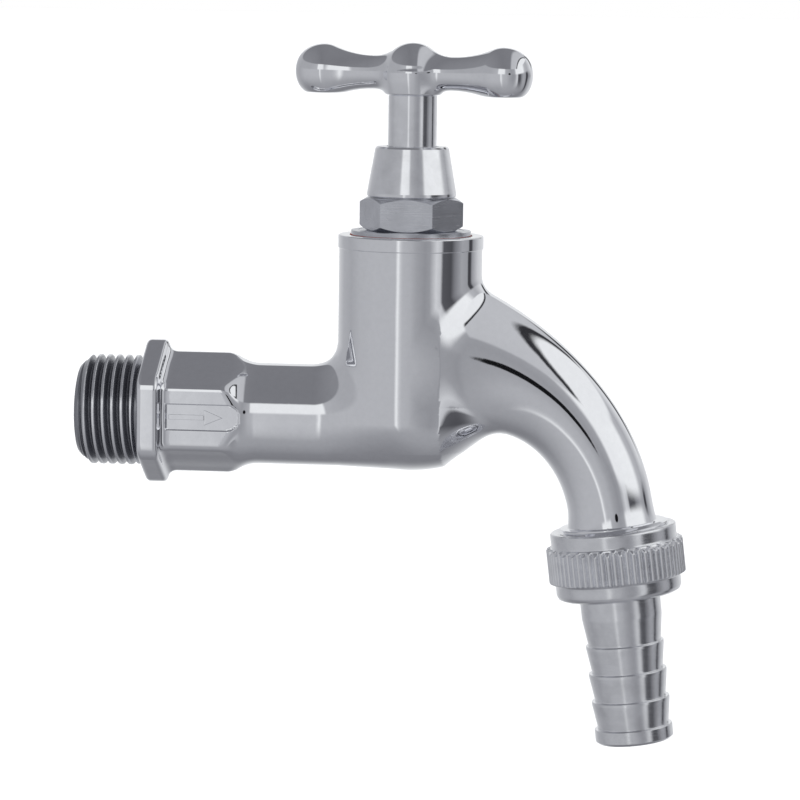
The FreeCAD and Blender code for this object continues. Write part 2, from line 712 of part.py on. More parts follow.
prism(spindle, polygon_outline(size("square_width"), 4, 45 + handle_turn), spindle_shoulder - 0.2,
      size("square_height") + 0.2, "Square")
spindle_floor = lead - (spindle_depth * (2 * spindle_slope)) - spindle_ridge
cut_thread(spindle, thread_foot_radius, size("spindle_thread_radius") + over, spindle_floor,
           spindle_floor + (spindle_depth + over) * (2 * spindle_slope), lead,
           spindle_tap_start - lead * 0.5, lead * 2.5 + size("spindle_thread_length") - 3.0, "LeadThread")
on_spindle(spindle)


def make_handle():
    """T-handle: arms turned about the bar's axis, and a skirt that stands on the spindle."""
    hub = size("hub_radius").value
    neck = size("arm_neck_radius").value
    neck_at = size("arm_neck_distance").value
    knob = size("knob_radius").value
    knob_at = size("knob_distance").value
    end_at = size("handle_half_length").value
    end_length = size("knob_end_length").value
    hub_hollow = (neck_at ** 2 + neck ** 2 - hub ** 2) / (2 * (hub - neck))
    knob_hollow = ((knob_at - neck_at) ** 2 + neck ** 2 - knob ** 2) / (2 * (knob - neck))

    def arc(centre, radius, start_angle, end_angle):
        points = [centre + Vector(math.cos(angle), 0, math.sin(angle)) * radius
                  for angle in (start_angle, (start_angle + end_angle) / 2, end_angle)]
        return Part.Arc(*points).toShape()

    hub_angle = math.atan2(neck + hub_hollow, neck_at)
    knob_angle = math.atan2(neck + knob_hollow, knob_at - neck_at)
    hub_centre = Vector(neck_at, 0, neck + hub_hollow)
    knob_centre = Vector(neck_at, 0, neck + knob_hollow)
    crown = arc(Vector(), hub, math.pi / 2, hub_angle)
    hollow_in = arc(hub_centre, hub_hollow, math.pi + hub_angle, 1.5 * math.pi)
    hollow_out = arc(knob_centre, knob_hollow, 1.5 * math.pi, 2 * math.pi - knob_angle)
    swell = arc(Vector(knob_at, 0, 0), knob, math.pi - knob_angle, math.pi / 2)
    face_radius = knob * math.sqrt(1 - ((end_at - knob_at) / end_length) ** 2)
    ellipse = Part.Ellipse(Vector(knob_at + end_length, 0, 0), Vector(knob_at, 0, knob), Vector(knob_at, 0, 0))
    first, last = (ellipse.parameter(Vector(end_at, 0, face_radius)),
                   ellipse.parameter(Vector(knob_at, 0, knob)))
    dome = ellipse.toShape(min(first, last), max(first, last))
    face_line = Part.makeLine(Vector(end_at, 0, face_radius), Vector(end_at, 0, 0))
    axis_line = Part.makeLine(Vector(end_at, 0, 0), Vector())
    start_line = Part.makeLine(Vector(), Vector(0, 0, hub))
    edges = [start_line, crown, hollow_in, hollow_out, swell, dome, face_line, axis_line]
    outline = Part.Wire(Part.__sortEdges__(edges))
    arm = Part.Face(outline).revolve(Vector(), Vector(1, 0, 0), 360)
    rim = [edge for edge in arm.Edges if edge.Closed and abs(edge.BoundBox.XMin - end_at) < 1e-4
           and abs(edge.BoundBox.XMax - end_at) < 1e-4]
    arm = arm.makeFillet(0.8, rim)
    bar = arm.fuse(arm.mirror(Vector(), Vector(1, 0, 0))).removeSplitter()
    rise = size("handle_rise").value
    skirt = Part.makeCylinder(size("skirt_radius").value, rise, Vector(0, 0, -rise))
    handle_shape = bar.fuse(skirt)
    below = Part.makeBox(20, 20, 10, Vector(-10, -10, -rise - 10))
    width = size("square_width").value + 2 * size("socket_clearance").value
    socket = Part.makeBox(width, width, size("square_height").value + 0.3,
                          Vector(-width / 2, -width / 2, -rise))
    grub_hole = Part.makeCylinder(size("grub_radius").value, hub + 1, Vector(), Vector(0, 1, 0))
    return handle_shape.cut(below).cut(socket).cut(grub_hole)


handle = doc.addObject("Part::Feature", "handle")
handle.Label = "handle"
handle.Shape = make_handle()
handle.Placement = Placement(Vector(size("spindle_distance").value, 0, handle_axis.value),
                             Rotation(Vector(0, 0, 1), handle_turn))
handle.setExpression("Placement.Base.x", "Sizes.spindle_distance")
handle.setExpression("Placement.Base.z", handle_axis.formula)

handle_screw = new_body("handle_screw")
screw_face = half_square + size("socket_clearance")
prism(handle_screw, polygon_outline(size("grub_radius") * (2 * 0.995), 24), screw_face,
      size("grub_length"), "Shank")
prism(handle_screw, polygon_outline(size("grub_radius")), screw_face + size("grub_length"),
      size("grub_length") * 0.5, "KeySocket", "PartDesign::Pocket")
place(handle_screw, Placement(Vector(size("spindle_distance").value, 0, handle_axis.value),
                              Rotation(Vector(0, 0, 1), handle_turn) * Rotation(Vector(1, 0, 0), -90)),
      [("Placement.Base.x", "Sizes.spindle_distance"), ("Placement.Base.z", handle_axis.formula)])


# ---------------------------------------------------------------- jumper

jumper = new_body("jumper")
clip_seat = size("jumper_stem_radius") - 0.5
stud_end = washer_top - size("seat_washer_thickness") - size("jumper_stud_length")
turned(jumper, [
    (0, stud_end), (size("jumper_stud_radius") - 0.3, stud_end), (size("jumper_stud_radius"), stud_end + 0.3),
    (size("jumper_stud_radius"), washer_top), (size("seat_washer_radius") + 0.05, washer_top),
    (size("seat_washer_radius") + 0.05, washer_top - size("jumper_rim_height")),
    (size("jumper_disc_radius"), washer_top - size("jumper_rim_height")),
    (size("jumper_disc_radius"), disc_top - 0.5), (size("jumper_disc_radius") - 0.5, disc_top),
    (size("jumper_stem_radius"), disc_top), (size("jumper_stem_radius"), clip_base - 0.05),
    (clip_seat, clip_base - 0.05), (clip_seat, clip_base + size("clip_wire") + 0.05),
    (size("jumper_stem_radius"), clip_base + size("clip_wire") + 0.05),
    (size("jumper_stem_radius"), stem_top - 0.5), (size("jumper_stem_radius") - 0.5, stem_top), (0, stem_top)])
on_spindle(jumper)

jumper_clip = new_body("jumper_clip")
clip_outer = clip_groove_radius - 0.1
turned(jumper_clip, ring_outline(clip_seat + 0.03, clip_outer, clip_base, clip_base + size("clip_wire"), 0.12))
gap = 0.9
prism(jumper_clip, [(as_length(0), as_length(-gap)), (as_length(4), as_length(-gap)),
                    (as_length(4), as_length(gap)), (as_length(0), as_length(gap))],
      clip_base + size("clip_wire") + 0.1, size("clip_wire") + 0.3, "Split", "PartDesign::Pocket")
on_spindle(jumper_clip)

seat_washer = new_body("seat_washer")
turned(seat_washer, ring_outline(size("jumper_stud_radius") + 0.05, size("seat_washer_radius"),
                                 size("seat_height"), washer_top, 0.2))
on_spindle(seat_washer)

washer_retainer = new_body("washer_retainer")
retainer_base = size("seat_height") - size("retainer_thickness")
turned(washer_retainer, ring_outline(size("jumper_stud_radius") + 0.08, size("retainer_radius"),
                                     retainer_base, size("seat_height")))
on_spindle(washer_retainer)

washer_nut = new_body("washer_nut")
nut_base = retainer_base - size("washer_nut_height")
prism(washer_nut, polygon_outline(size("washer_nut_flats")), nut_base, size("washer_nut_height"), "Hexagon")
turned(washer_nut, [(0, nut_base - 1), (size("jumper_stud_radius") + 0.04, nut_base - 1),
                    (size("jumper_stud_radius") + 0.04, retainer_base + 1), (0, retainer_base + 1)],
       "Bore", "PartDesign::Groove")
on_spindle(washer_nut)


# ---------------------------------------------------------------- union nut and hose tail

union_nut = new_body("union_nut")
foot = size("nut_foot_radius")
band_start = size("nut_band_start")
band_end = band_start + size("nut_band_length")
band_root = size("nut_ridge_radius") - size("nut_ridge_depth")
neck_hole = size("tail_neck_radius") + 0.15
turned(union_nut, [
    (tapped_minor, 0.5), (tapped_major + 0.1, 0), (size("nut_top_radius") - 0.25, 0),
    (size("nut_top_radius"), 0.25), (size("nut_top_radius"), band_start), (band_root - 0.25, band_start),
    (band_root, band_start + 0.4), (band_root, band_end - 0.5), (foot, band_end),
    (foot, size("nut_length") - 1.1), (foot - 0.3, size("nut_length") - 0.4),
    (foot - 1.1, size("nut_length")), (neck_hole, size("nut_length")), (neck_hole, nut_ledge),
    (size("nut_cavity_radius"), nut_ledge), (size("nut_cavity_radius"), size("outlet_length") + 0.4),
    (tapped_minor, size("outlet_length") + 0.2)])


def ridge(start, end, name, turn=0.0):
    """One bar of the grip band, wedge-ended, a turn about the nut's axis away from its +X side."""
    feature = union_nut.newObject("PartDesign::Pad", name)
    crest = size("nut_ridge_radius")
    sketch = outline_sketch(union_nut, "XZ_Plane", name + "Outline", [
        (band_root - 0.3, start), (crest - 0.3, start), (crest, start + 0.35), (crest, end - 0.5),
        (band_root - 0.3, end)])
    sketch.AttachmentOffset = Placement(Vector(), Rotation(Vector(0, 1, 0), turn))
    feature.Profile = sketch
    feature.Length = size("nut_ridge_width").value
    feature.setExpression("Length", "Sizes.nut_ridge_width")
    feature.Midplane = True
    return feature


def ring_of(feature, count, name):
    pattern = union_nut.newObject("PartDesign::PolarPattern", name)
    pattern.Originals = [feature]
    pattern.Axis = (origin_feature(union_nut, "Z_Axis"), [""])
    pattern.Angle = 360
    pattern.Occurrences = count
    union_nut.Tip = pattern
    return pattern


cut_thread(union_nut, tapped_major, tapped_minor - over, tapped_root_width,
           tapped_rim_width + 2 * flank * over, pitch,
           as_length(0.75) - pitch * 1.5, size("outlet_length") + pitch * 1.5 - 0.6, "NutThread")
pairs = int(size("nut_ridge_pairs").value)
ring_of(ridge(band_start, band_end, "LongRidge"), pairs, "LongRidges")
ring_of(ridge(band_start + size("nut_ridge_stagger"), band_end, "ShortRidge", 180 / pairs), pairs, "ShortRidges")
on_outlet(union_nut)

hose_tail = new_body("hose_tail")
crest, valley, land = size("barb_crest_radius"), size("barb_valley_radius"), size("barb_land")
nut_end = size("nut_length")
tail_points = [
    (size("tail_bore"), washer_end), (size("tail_collar_radius"), washer_end),
    (size("tail_collar_radius"), collar_end), (size("tail_neck_radius"), collar_end),
    (size("tail_neck_radius"), nut_end + size("tail_neck_length")),
    (size("tail_waist_radius"), first_barb - 0.4), (size("tail_waist_radius"), first_barb)]
for barb in range(3):
    barb_top = first_barb + size("barb_pitch") * barb
    barb_end = barb_top + size("barb_pitch")
    tail_points += [(crest - 0.1, barb_top), (crest, barb_top + 0.1), (crest, barb_top + land),
                    (valley, barb_end - 0.3), (valley, barb_end)]
tail_points += [
    (crest - 0.3, bead_start), (crest, bead_start + 0.3), (crest, tail_end - 0.9),
    (crest - 0.25, tail_end - 0.35), (crest - 0.8, tail_end), (size("tail_bore"), tail_end)]
turned(hose_tail, tail_points)
on_outlet(hose_tail)

tail_washer = new_body("tail_washer")
turned(tail_washer, ring_outline(size("spout_bore"), size("tail_collar_radius"),
                                 size("outlet_length"), washer_end, 0.15))
on_outlet(tail_washer)


# ---------------------------------------------------------------- check and write

doc.recompute()
sub_parts = [item for item in doc.Objects
             if item.TypeId == "PartDesign::Body" or item.TypeId == "Part::Feature"]
for item in doc.Objects:
    if {"Invalid", "Error"} & set(item.State):
        raise RuntimeError(f"{item.Label} failed: {item.State}")
for item in sub_parts:
    shape = item.Shape
    if shape.isNull() or not shape.isValid() or shape.Volume <= 0:
        raise RuntimeError(f"{item.Label} has no valid solid")
os.makedirs("parts", exist_ok=True)
for item in sub_parts:
    item.Shape.exportStep(f"parts/{item.Label}.step")
    print(f"{item.Label}: {len(item.Shape.Solids)} solid, {item.Shape.Volume:.0f} mm3")
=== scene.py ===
"""Hose bib in polished chrome and satin nickel: casting, bonnet, T-handle, union nut and hose tail.

Lengths are millimetres until a piece is made, then metres. The frame is the CAD's: the origin is the
centre of the flange's wall face, +X runs away from the wall and +Z up along the spindle.
"""
import json
import math

import bpy
import numpy as np
from mathutils import Matrix, Vector


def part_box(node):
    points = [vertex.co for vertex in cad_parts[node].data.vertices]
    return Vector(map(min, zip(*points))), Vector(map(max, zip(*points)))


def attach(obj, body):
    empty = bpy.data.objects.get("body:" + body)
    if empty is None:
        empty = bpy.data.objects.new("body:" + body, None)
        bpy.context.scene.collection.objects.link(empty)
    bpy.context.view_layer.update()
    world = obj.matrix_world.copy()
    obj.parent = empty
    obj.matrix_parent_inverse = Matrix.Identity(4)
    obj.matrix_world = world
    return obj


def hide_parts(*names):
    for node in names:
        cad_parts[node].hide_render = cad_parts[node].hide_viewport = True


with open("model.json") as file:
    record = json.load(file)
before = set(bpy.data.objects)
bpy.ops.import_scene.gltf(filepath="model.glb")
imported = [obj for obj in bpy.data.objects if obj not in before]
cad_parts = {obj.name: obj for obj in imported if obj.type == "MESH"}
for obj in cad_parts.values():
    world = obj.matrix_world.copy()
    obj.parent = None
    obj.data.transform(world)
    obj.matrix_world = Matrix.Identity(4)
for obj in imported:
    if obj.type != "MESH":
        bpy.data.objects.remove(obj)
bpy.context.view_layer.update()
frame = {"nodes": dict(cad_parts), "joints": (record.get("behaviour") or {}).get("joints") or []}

MM = 0.001


def box_mm(node):
    """Lowest and highest corner of a CAD node, in millimetres."""
    low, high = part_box(node)
    return np.array(low) / MM, np.array(high) / MM


def joint(name):
    return next(entry for entry in frame["joints"] if entry["name"] == name)


# ---------------------------------------------------------------- places, from the frame

body_low, body_high = box_mm("valve_body")
cap_low, cap_high = box_mm("gland_cap")
handle_low, handle_high = box_mm("handle")
spindle_x = (cap_low[0] + cap_high[0]) / 2
barrel_top = body_high[2]
collar_radius = body_high[1]
spigot_end = body_low[0]

outlet_axis = np.array(joint("nut_turn")["axis"], float)

# Casting.
flange_flats = 24.65
flange_thickness = 4.0
section_flats = 20.4
section_corner = 12.15
section_end = 15.6
section_slope = 0.65
pipe_radius = 9.54
barrel_radius = collar_radius - 0.2
barrel_depth = 9.6
bowl_power = 1.6
collar_height = 2.6
thread_radius = 10.4775
thread_pitch = 1.814
thread_depth = 1.162
inlet_bore = 6.5
chamber_radius = 9.3
chamber_floor = 9.4
bonnet_thread_foot = 22.6
seat_bore = 5.5
seat_height = 11.0
# Spout: a bend in the XZ plane and a short straight.
spout_height = 10.6
spout_start = 7.05
spout_bend = 32.0
spout_root_rise = 17.1
spout_root_width = 12.2
spout_end_radius = 8.0
spout_bore = 6.0
spout_bore_height = 15.8
outlet_straight = 2.4
outlet_length = 7.6
# Union nut and hose tail, along the outlet from the top of the nut.
nut_length = 12.9
nut_top_radius = 11.9
nut_foot_radius = 11.85
band_radius = 12.25
ridge_depth = 0.7
ridge_count = 66
band_start = 2.7
band_end = 9.9
tail_bore = 5.0
barb_crest = 7.4
barb_valley = 6.75
tail_neck = 7.6
barb_start = 22.1
barb_pitch = 5.35

tilt = math.atan2(outlet_axis[0], -outlet_axis[2])
bend_angle = math.pi / 2 - tilt
bend_centre = np.array([spindle_x + spout_start, 0.0, spout_height - spout_bend])
bend_outward = np.array([math.sin(bend_angle), 0.0, math.cos(bend_angle)])
outlet_origin = bend_centre + bend_outward * spout_bend + outlet_axis * outlet_straight

across_outlet = np.array([outlet_axis[2] * -1, 0.0, outlet_axis[0]])
outlet_frame = np.column_stack([across_outlet, np.cross(outlet_axis, across_outlet), outlet_axis])
spindle_frame = np.eye(3)
inlet_frame = np.column_stack([[0.0, 0.0, 1.0], [0.0, 1.0, 0.0], [-1.0, 0.0, 0.0]])
spindle_foot = np.array([spindle_x, 0.0, 0.0])


# ---------------------------------------------------------------- meshes from arrays

def make_piece(name, points, quads, normals, material, body):
    """A smooth piece from points in millimetres; its quads are turned to face along the normals."""
    corners = points[quads]
    facing = np.cross(corners[:, 2] - corners[:, 0], corners[:, 3] - corners[:, 1])
    if (facing * normals[quads].mean(1)).sum() < 0:
        quads = quads[:, ::-1]
    mesh = bpy.data.meshes.new(name)
    mesh.from_pydata((points * MM).tolist(), [], quads.tolist())
    mesh.shade_smooth()
    mesh.normals_split_custom_set_from_vertices(normals.tolist())
    mesh.materials.append(material)
    piece = bpy.data.objects.new(name, mesh)
    bpy.context.scene.collection.objects.link(piece)
    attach(piece, body)
    return piece


def ring_quads(rows, columns):
    """Quads of a grid that closes on itself both ways."""
    row, column = np.meshgrid(np.arange(rows), np.arange(columns), indexing="ij")
    next_row, next_column = (row + 1) % rows, (column + 1) % columns
    return np.stack([row * columns + column, next_row * columns + column,
                     next_row * columns + next_column, row * columns + next_column], -1).reshape(-1, 4)


def placed(local, axes, origin):
    return local @ axes.T + origin


def rounded_outline(corners, radius, steps=6):
    """A closed outline of (radius, height) corners, anticlockwise, with every corner an arc.

    An arc of radius r on a turn t starts and ends r * tan(t / 2) from its corner, and at most 0.45 of
    the shorter edge. Its outward normal swings evenly through the turn. Gives points and normals.
    """
    corners = np.array(corners, float)
    edge = np.roll(corners, -1, 0) - corners
    length = np.linalg.norm(edge, axis=1)
    leaving = edge / length[:, None]
    coming = np.roll(leaving, 1, 0)
    turn = np.arctan2(coming[:, 0] * leaving[:, 1] - coming[:, 1] * leaving[:, 0], (coming * leaving).sum(1))
    half = np.maximum(np.abs(np.tan(turn / 2)), 1e-6)
    reach = np.minimum(radius * half, 0.45 * np.minimum(length, np.roll(length, 1)))
    arc = (np.sign(turn) * reach / half)[:, None, None]
    angle = turn[:, None] * np.linspace(0, 1, steps)
    across, along = coming[:, 1, None], -coming[:, 0, None]
    normals = np.stack([across * np.cos(angle) - along * np.sin(angle),
                        across * np.sin(angle) + along * np.cos(angle)], -1)
    centre = corners - coming * reach[:, None] - arc[:, 0] * normals[:, 0]
    points = centre[:, None] + normals * arc
    return points.reshape(-1, 2), normals.reshape(-1, 2)


def turned(name, corners, radius, axes, origin, material, body, columns=128):
    """A turned solid: the rounded outline swept round the local Z axis by a full circle."""
    outline, facing = rounded_outline(corners, radius)
    angle = np.linspace(0, 2 * math.pi, columns, endpoint=False)
    circle = np.stack([np.cos(angle), np.sin(angle)], -1)

    def swept(profile):
        radial = profile[:, None, 0, None] * circle
        height = np.broadcast_to(profile[:, None, 1, None], radial.shape[:2] + (1,))
        return np.concatenate([radial, height], -1).reshape(-1, 3)

    points = placed(swept(outline), axes, origin)
    return make_piece(name, points, ring_quads(len(outline), columns), swept(facing) @ axes.T, material, body)


def grid_normals(points):
    """Normals of a grid closed both ways: the cross product of its two central differences."""
    down = np.roll(points, -1, 0) - np.roll(points, 1, 0)
    round_it = np.roll(points, -1, 1) - np.roll(points, 1, 1)
    normals = np.cross(round_it, down)
    return normals / np.maximum(np.linalg.norm(normals, axis=-1, keepdims=True), 1e-9)


def along_outline(corners, spacing):
    """Points along straight edges between corners; spacing is one value, or one for each edge."""
    corners = np.array(corners, float)
    spacing = np.broadcast_to(spacing, len(corners))
    runs = []
    for start, end, step in zip(corners, np.roll(corners, -1, 0), spacing):
        count = max(1, round(float(np.linalg.norm(end - start) / step)))
        runs.append(start + (end - start) * (np.arange(count) / count)[:, None])
    return np.concatenate(runs)


def carved(name, outline, radius_of, columns, axes, origin, material, body):
    """A sleeve whose outer face isn't round: each outline point keeps its height along the local Z
    axis, and its radius is what radius_of(radius, height, angle) makes of it."""
    angle = np.linspace(0, 2 * math.pi, columns, endpoint=False)[None, :]
    radius, height = outline[:, :1], outline[:, 1:]
    across = radius_of(radius, height, angle)
    local = np.stack([across * np.cos(angle), across * np.sin(angle),
                      np.broadcast_to(height, across.shape)], -1)
    points = local @ axes.T + origin
    normals = grid_normals(points)
    outward = ((points - origin - (points - origin) @ axes[:, 2:] * axes[:, 2]) * normals).sum(-1)
    outside = outward[radius[:, 0] == radius.max()].mean()
    normals = normals * (1 if outside > 0 else -1)
    return make_piece(name, points.reshape(-1, 3), ring_quads(len(outline), columns),
                      normals.reshape(-1, 3), material, body)


def thread_shape(radius, root, start, crest_flat):
    """Radius of a right-handed Whitworth thread under a turned envelope.

    The distance from the nearest ridge's middle, past half the crest's flat, goes down the flank
    at 27.5 degrees; the envelope limits the top and the root limits the bottom.
    """
    flank = math.tan(math.radians(27.5))

    def radius_of(envelope, height, angle):
        share = (height - start) / thread_pitch - angle / (2 * math.pi)
        away = np.abs(share - np.round(share)) * thread_pitch
        ridge = radius - np.maximum(0, away - crest_flat / 2) / flank
        outside = envelope > root
        return np.where(outside, np.maximum(root, np.minimum(envelope, ridge)), envelope + 0 * angle)

    return radius_of


# ---------------------------------------------------------------- surfaces at the zero level of a field

def joined(first, second, width):
    """Smooth union: the lower field, less width * s^2 / 4 where the two differ by less than width."""
    share = np.clip(width - np.abs(first - second), 0, None) / width
    return np.minimum(first, second) - share ** 2 * width / 4


def shared(first, second, width):
    """Smooth intersection, the mirror image of the smooth union."""
    return -joined(-first, -second, width)


def bowl_field(across, along, half_across, half_along, power):
    """About the distance to a superellipse: (k - 1) / |gradient of k|, where k is the power's norm of
    the two shares of the half widths."""
    first, second = np.abs(across) / half_across, np.abs(along) / half_along
    level = np.maximum(first ** power + second ** power, 1e-6) ** (1 / power)
    slope = np.hypot(first ** (power - 1) / half_across, second ** (power - 1) / half_along)
    return (level - 1) / np.maximum(slope * level ** (1 - power), 0.02)


def ellipse_field(across, along, half_across, half_along):
    """About the distance to an ellipse: k (k - 1) / |gradient of k|, where k is 1 on the ellipse."""
    level = np.hypot(across / half_across, along / half_along)
    slope = np.hypot(across / half_across ** 2, along / half_along ** 2)
    return level * (level - 1) / np.maximum(slope, 1e-6)


def gradient(field, points, step=0.02):
    """Central differences of a field at points."""
    shifts = np.eye(3) * step
    return np.stack([field(points + shift) - field(points - shift) for shift in shifts], -1) / (2 * step)


def onto_level(field, points, steps=3):
    """Newton's method: each point moves down the gradient by field / |gradient|."""
    for _ in range(steps):
        slope = gradient(field, points)
        points = points - slope * (field(points) / np.maximum((slope ** 2).sum(1), 0.05))[:, None]
    return points


def level_surface(name, field, axes, material, body):
    """Surface nets of a field's zero level on a grid of lines that may be unevenly spaced.

    Each cell that the level crosses holds one vertex, at the mean of its edges' crossings. Each grid
    edge that changes sign gives the quad of the four cells round it. The vertices are evened out
    between their neighbours twice and drawn onto the level by Newton's method.
    """
    grid = np.stack(np.meshgrid(*axes, indexing="ij"), -1)
    value = field(grid.reshape(-1, 3)).reshape(grid.shape[:3])
    cells = tuple(count - 1 for count in value.shape)
    total = np.zeros((int(np.prod(cells)), 3))
    crossings = np.zeros(len(total))
    quads = []
    for axis in range(3):
        low = [slice(None)] * 3
        high = [slice(None)] * 3
        low[axis], high[axis] = slice(None, -1), slice(1, None)
        first, second = value[tuple(low)], value[tuple(high)]
        place = np.argwhere((first < 0) != (second < 0))
        start, end = first[tuple(place.T)], second[tuple(place.T)]
        point = np.stack([line[index] for line, index in zip(axes, place.T)], -1)
        point[:, axis] += start / (start - end) * np.diff(axes[axis])[place[:, axis]]
        ring = []
        for shift in ((0, 0), (1, 0), (1, 1), (0, 1)):
            cell = place.copy()
            cell[:, (axis + 1) % 3] -= shift[0]
            cell[:, (axis + 2) % 3] -= shift[1]
            ring.append(np.ravel_multi_index(cell.T, cells))
            np.add.at(total, ring[-1], point)
            np.add.at(crossings, ring[-1], 1)
        ring = np.stack(ring, -1)
        quads.append(np.where((start < 0)[:, None], ring, ring[:, ::-1]))
    used = np.flatnonzero(crossings)
    number = np.zeros(len(total), int)
    number[used] = np.arange(len(used))
    points = total[used] / crossings[used, None]
    quads = number[np.concatenate(quads)]
    for _ in range(2):
        near = np.zeros_like(points)
        count = np.zeros(len(points))
        for corner in range(4):
            np.add.at(near, quads[:, corner], points[quads[:, corner - 1]])
            np.add.at(count, quads[:, corner], 1)
        points = onto_level(field, (points + near / count[:, None]) / 2, 2)
    normals = gradient(field, points)
    normals /= np.linalg.norm(normals, axis=1, keepdims=True)
    return make_piece(name, points, quads, normals, material, body)


def spaced(*stretches):
    """Grid lines: (start, end, spacing) stretches, one after another."""
    runs = [np.arange(start, end - spacing / 3, spacing) for start, end, spacing in stretches]
    return np.concatenate(runs)


def rounded_hexagon(y, z, flats, rounding):
    """Distance to a hexagon with corners up and down: the smooth maximum over its three pairs of flats."""
    faces = [np.abs(y * math.cos(turn) + z * math.sin(turn)) - flats / 2
             for turn in (0, math.pi / 3, 2 * math.pi / 3)]
    return shared(shared(faces[0], faces[1], rounding), faces[2], rounding)


def bent_tube(points, centre, bend, radii):
    """An elliptical tube along X, round a bend in the XZ plane and straight on down the outlet.

    radii(turn, before) gives the half width in the bend's plane and across it, for the angle turned
    through and the length still to go to the bend's start.
    """
    x, y, z = (points - centre).T
    past = x * math.cos(bend_angle) - z * math.sin(bend_angle) > 0
    turn = np.where(x < 0, 0, np.where(past, bend_angle, np.arctan2(x, z)))
    turn = np.where((x > 0) & (z < 0) & ~past, bend_angle, turn)
    outward = np.where(x < 0, z, np.where(past, x * bend_outward[0] + z * bend_outward[2],
                                          np.hypot(x, z))) - bend
    rise, width = radii(turn, np.clip(-x, 0, None))
    return ellipse_field(outward, y, rise, width)


def spout_radii(turn, before):
    """Half widths that shrink with the cube of the turn still to go to 80 degrees, and that
    round off inside the barrel."""
    remaining = np.clip(1 - np.degrees(turn) / 80, 0, None) ** 3
    inside = 1 - 0.14 * (before / spout_start) ** 2
    rise = spout_end_radius + (spout_root_rise - spout_end_radius) * remaining
    width = spout_end_radius + (spout_root_width - spout_end_radius) * remaining
    return rise * inside, width * inside


def below_shoulder(points):
    """Length along the outlet from the top of the union nut."""
    return (points - outlet_origin) @ outlet_axis


def casting_outside(points):
    """Flange, section, pipe, barrel and spout, run together as a founder's fillets join them."""
    x, y, z = points.T
    from_axis = np.hypot(y, z)
    flange = shared(rounded_hexagon(y, z, flange_flats, 2.1),
                    np.abs(x - flange_thickness / 2) - flange_thickness / 2, 0.9)
    cone = from_axis - section_corner + section_slope * np.clip(x - section_end, 0, None)
    section = shared(rounded_hexagon(y, z, section_flats, 1.1), cone / math.hypot(1, section_slope), 0.7)
    section = shared(section, 0.8 - x, 0.4)
    pipe = from_axis - pipe_radius + 0.02 * np.clip(x - spindle_x + 12.5, 0, None) ** 2
    pipe = np.maximum(np.maximum(pipe, x - spindle_x), 0.8 - x)
    inlet = joined(joined(flange, section, 2.0), pipe, 1.2)
    from_spindle = np.hypot(x - spindle_x, y)
    bowl = bowl_field(from_spindle, z, barrel_radius, barrel_depth, bowl_power)
    barrel = np.where(z > 0, from_spindle - barrel_radius, bowl)
    barrel = np.maximum(barrel, z - barrel_top + 1.2)
    spout = bent_tube(points, bend_centre, spout_bend, spout_radii)
    below = below_shoulder(points)
    spout = spout - 0.6 * np.clip(1 + below / 5, 0, 1) ** 2
    spout = np.maximum(np.maximum(spout, spindle_x - x), below + 0.3)
    fillet = 2.4 + 6.0 * np.clip((3 - z) / 9, 0, 1)
    return joined(joined(inlet, barrel, 5.5), spout, fillet)


badge_half = 2.45
badge_depth = 0.35
badge_end = section_end + 1.2
arrow_middle = (flange_thickness + section_end + 2.4) / 2


def badge_field(points):
    """Sunk panel on the section's front flat: a slot from the flange to a round end."""
    x, y, z = points.T
    slot = np.hypot(np.clip(x - badge_end, 0, None), z) - badge_half
    return shared(shared(slot, y + section_flats / 2 - badge_depth, 0.15), flange_thickness + 1.3 - x, 0.15)


def arrow_field(points):
    """Arrow that stands on the panel's floor and points the way the water runs: a shaft and a
    wedge whose flank falls 1.5 over 3.6, both cut off just below the section's flat."""
    x, y, z = points.T
    across = np.abs(z)
    along = x - arrow_middle
    shaft = np.maximum(np.abs(along + 1.8) - 3.4, across - 0.5)
    flank = (across * 3.6 + (along - 5.2) * 1.5) / math.hypot(3.6, 1.5)
    wedge = np.maximum(flank, 1.6 - along)
    return shared(np.minimum(shaft, wedge), np.abs(y + section_flats / 2 - 0.32) - 0.22, 0.12)


def waterway(points):
    """Inlet bore, valve chamber, seat and spout bore, with the recess round the spigot's root."""
    x, y, z = points.T
    from_axis = np.hypot(y, z)
    from_spindle = np.hypot(x - spindle_x, y)
    inlet = np.where(x < 1.3, from_axis - inlet_bore - 1.0, from_axis - inlet_bore)
    inlet = np.minimum(np.maximum(inlet, x - spindle_x), np.hypot(from_spindle, z) - inlet_bore)
    seat = np.maximum(from_spindle - seat_bore, -z)
    wall = np.where(z < bonnet_thread_foot, chamber_radius, thread_radius + 0.3)
    chamber = np.maximum(from_spindle - wall, chamber_floor - z)
    arc_foot = outlet_origin - outlet_axis * 0.6
    rise = (spout_bore_height - arc_foot[2]) / math.cos(tilt)
    bend = rise / math.tan(bend_angle / 2)
    start_x = arc_foot[0] - outlet_axis[0] * rise - rise
    centre = np.array([start_x, 0.0, spout_bore_height - bend])
    spout = bent_tube(points, centre, bend, lambda turn, before: (spout_bore + 0 * turn, spout_bore))
    spout = np.maximum(spout, start_x - x)
    lip = np.maximum(from_spindle - seat_bore - 1.5, z - seat_height)
    return np.minimum(np.minimum(inlet, seat), np.maximum(np.minimum(chamber, spout), -lip))


def casting_field(points):
    outside = shared(casting_outside(points), -badge_field(points), 0.2)
    return np.maximum(outside, -waterway(points))


hub_radius = 5.7
arm_neck = 3.15
arm_neck_at = 8.0
knob_radius = 5.15
knob_at = 18.3
knob_end = 5.8
handle_half = 23.9
handle_rise = 4.1
handle_turn = math.radians(-17)
skirt_radius = 4.7
grub_radius = 1.5
handle_axis = handle_high[2] - hub_radius
handle_foot = handle_axis - handle_rise


